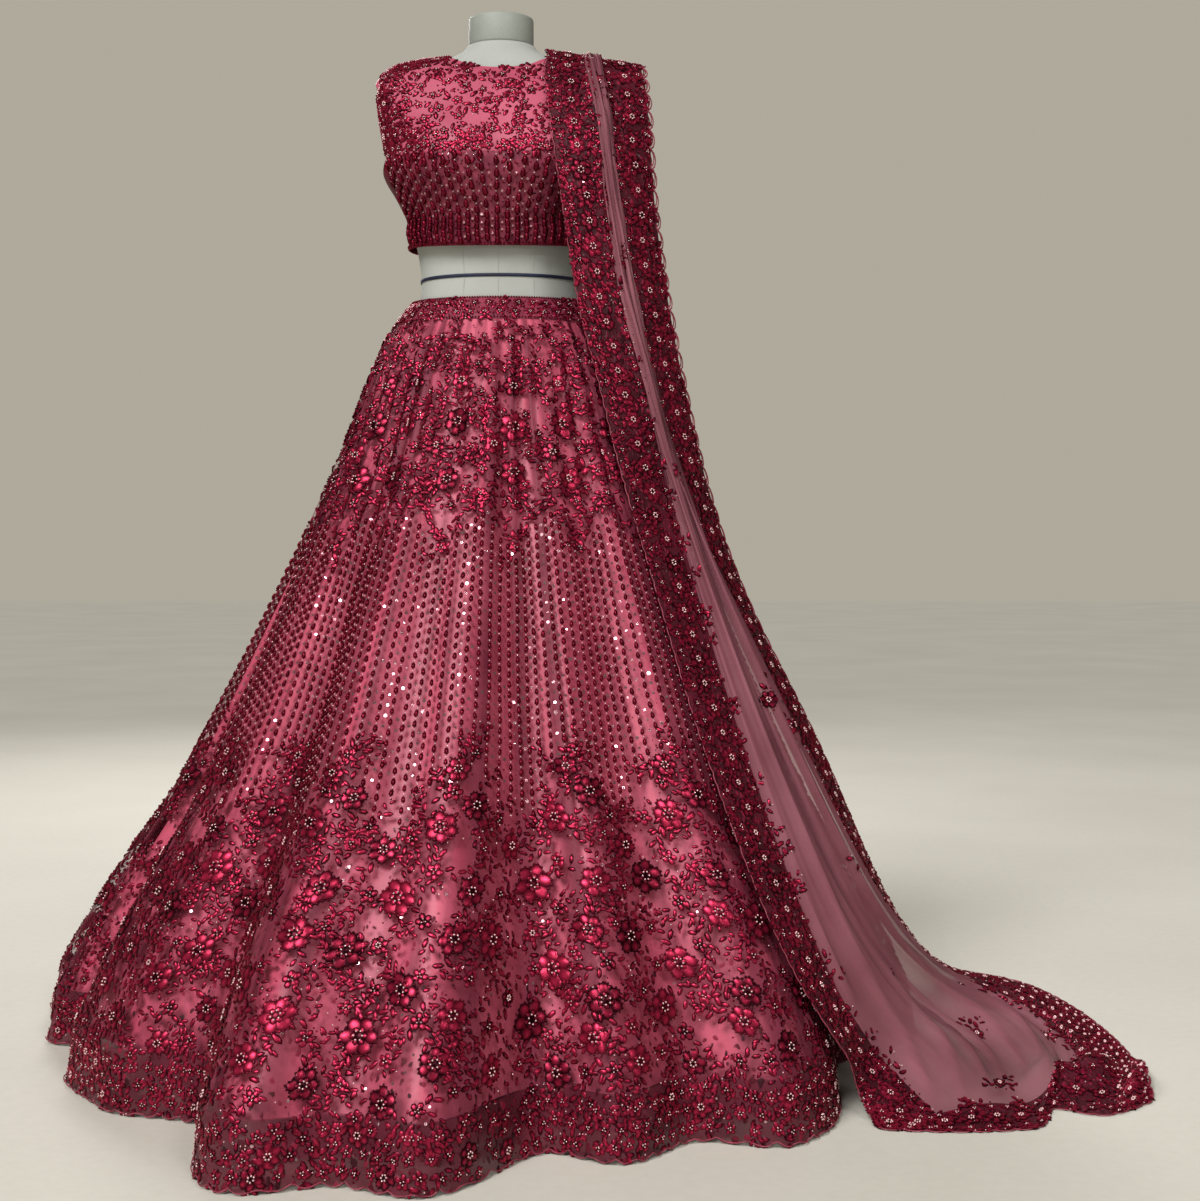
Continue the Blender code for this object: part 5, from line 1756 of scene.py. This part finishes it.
# %% The wider border of the train
TRAIN_LEAVES = 240
train_edge = LAST_COLUMN - BORDER_SPAN
first, last = TRAIN_ROWS[1] - 4, LAST_ROW - END_SPAN
for share in (0.25, 0.80):
    column = train_edge - share * TRAIN_WIDER
    rows = spaced(dupatta_points[:, int(column)], 0.036)
    rows = rows[(rows > first) & (rows < last)]
    spots = on_dupatta(rows, column + chance.normal(0, 0.4, len(rows)))
    radius = 0.0150 * chance.uniform(0.80, 1.10, len(rows))
    sew_flowers(dupatta_work, spots, radius, sprays=2, leaves=3, beads=3)
columns = train_edge - chance.uniform(0, TRAIN_WIDER + 2, TRAIN_LEAVES)
sew_leaves(on_dupatta(chance.uniform(first, last, TRAIN_LEAVES), columns))

# %% Make the bead pieces
sewn_triangles = sum(box.make() for box in (skirt_work, hem_work, choli_work, dupatta_work))
print("sewn on, triangles:", sewn_triangles)

# %% [markdown]
# ## Corded scallops
#
# A cord edges the hem and the dupatta in small scallops. It is a chain of short tubes that follow a
# scalloped line just outside the edge, which keeps it light and lets it bend with the cloth.

# %% A cord along an edge
LINK_LENGTH = 0.0050
CORD_FLOOR = 0.0018
cords = Sewing(LINK)


def read_at(marks, length, points):
    """The points of a line, read at these lengths along it."""
    return np.stack([np.interp(marks, length, axis) for axis in points.T], axis=1)


def cord_on_edge(edge, way, scallop_length, scallop_depth):
    """Adds links along an edge line, bowed out in scallops. way points outward, one for each point."""
    length = lengths_along(edge)
    marks = np.arange(0, length[-1], LINK_LENGTH)
    way = unit(read_at(marks, length, way))
    bow = scallop_depth * np.abs(np.sin(math.pi * marks / scallop_length)) ** 0.6
    line = read_at(marks, length, edge) + way * bow[:, None]
    line[:, 2] = np.maximum(line[:, 2], CORD_FLOOR)
    middle = (line[1:] + line[:-1]) / 2
    along = unit(line[1:] - line[:-1])
    out = unit(np.cross(along, way[1:]))
    half = np.linalg.norm(line[1:] - line[:-1], axis=1) / 2
    cords.add_frames((middle, np.cross(along, out), along, out), half)


hem_ring = skirt_surface.points[-1]
hem_edge = np.concatenate([hem_ring, hem_ring[:1]]) + np.array([0, 0, 0.0022])
cord_on_edge(hem_edge, unit(hem_edge * np.array([1, 1, 0])), 0.030, 0.0045)
inner_edge, outer_edge = dupatta_points[:, 0], dupatta_points[:, -1]
outer_way = unit(outer_edge - dupatta_points[:, -4])
cord_on_edge(inner_edge, unit(inner_edge - dupatta_points[:, 3]), 0.022, 0.0026)
cord_on_edge(outer_edge, outer_way, 0.030, 0.0085)
cord_on_edge(outer_edge - outer_way * 0.003, outer_way, 0.030, 0.0085)
for end, inside in ((0, 3), (-1, -4)):
    end_edge = dupatta_points[end]
    cord_on_edge(end_edge, unit(end_edge - dupatta_points[inside]), 0.030, 0.0060)
cords.make("scallop_cord", cord_thread)

# %% [markdown]

# %% [markdown]
# ## Floor, lights and camera
#
# The set stands on a pale floor in soft daylight. A wide sun shines from the upper left in front, with
# weaker area lights in front and behind, and two small ones that only make the beads glint.

# %% Floor
floor_finish = finish("pale_floor", (0.64, 0.61, 0.53), (0.70, 0.67, 0.585), 0.75, 60, 1.5, 0.05)
floor_builder = bmesh.new()
bmesh.ops.create_grid(floor_builder, x_segments=2, y_segments=2, size=14.0)
bmesh.ops.translate(floor_builder, verts=floor_builder.verts, vec=(0, 6.0, -0.0005))
floor = placed("studio_floor", mesh_from("studio_floor", floor_builder, [floor_finish]))


# %% Lights
def lit(name, kind, way, power):
    """A light that shines along a direction."""
    light = bpy.data.lights.new(name, kind)
    light.energy = power
    made = placed(name, light)
    made.rotation_euler = Vector(way).to_track_quat("-Z", "Y").to_euler()
    return made


window = lit("window", "SUN", (1.5, 2.6, -2.8), 2.5)
window.data.angle = math.radians(25)

# name, place, height of its target on the figure, watts, size
AREA_LIGHTS = [
    ("key", (1.6, -3.4, 3.6), 0.6, 40, 1.0),
    ("front", (-0.6, -4.2, 1.6), 0.6, 12, 1.2),
    ("back", (-1.2, 3.4, 3.0), 0.9, 75, 1.6),
    ("glint_left", (-1.0, -3.0, 2.6), 0.6, 8, 0.08),
    ("glint_right", (2.2, -2.6, 1.6), 0.6, 8, 0.08),
]
for name, place, target_height, power, size in AREA_LIGHTS:
    lamp = lit(name, "AREA", Vector((0, 0, target_height)) - Vector(place), power)
    lamp.location = place
    lamp.data.size = size

# %% Daylight all round
# The camera sees a pale surround, and its light on the set is dimmer.
SURROUND = (0.43, 0.40, 0.33, 1.0)
world = bpy.data.worlds.new("daylight")
world.use_nodes = True
wiring = Wiring(world.node_tree)
seen = wiring.add("LightPath", {}).outputs["Is Camera Ray"]
strength = wiring.add("MapRange", {"Value": seen, "To Min": 0.25, "To Max": 1.0}).outputs["Result"]
wiring.feed(wiring.nodes["Background"], {"Color": SURROUND, "Strength": strength})
bpy.context.scene.world = world
bpy.context.scene.view_settings.view_transform = "Standard"

# %% Camera
CAMERA_PLACE = (0.151, -2.759, 0.774)
CAMERA_TILT = 1.90
CAMERA_LENS = 53.55
lens = bpy.data.cameras.new("camera")
lens.sensor_width = 36
lens.lens = CAMERA_LENS
camera = placed("camera", lens)
camera.location = CAMERA_PLACE
camera.rotation_euler = (math.radians(90 - CAMERA_TILT), 0, 0)
bpy.context.scene.camera = camera
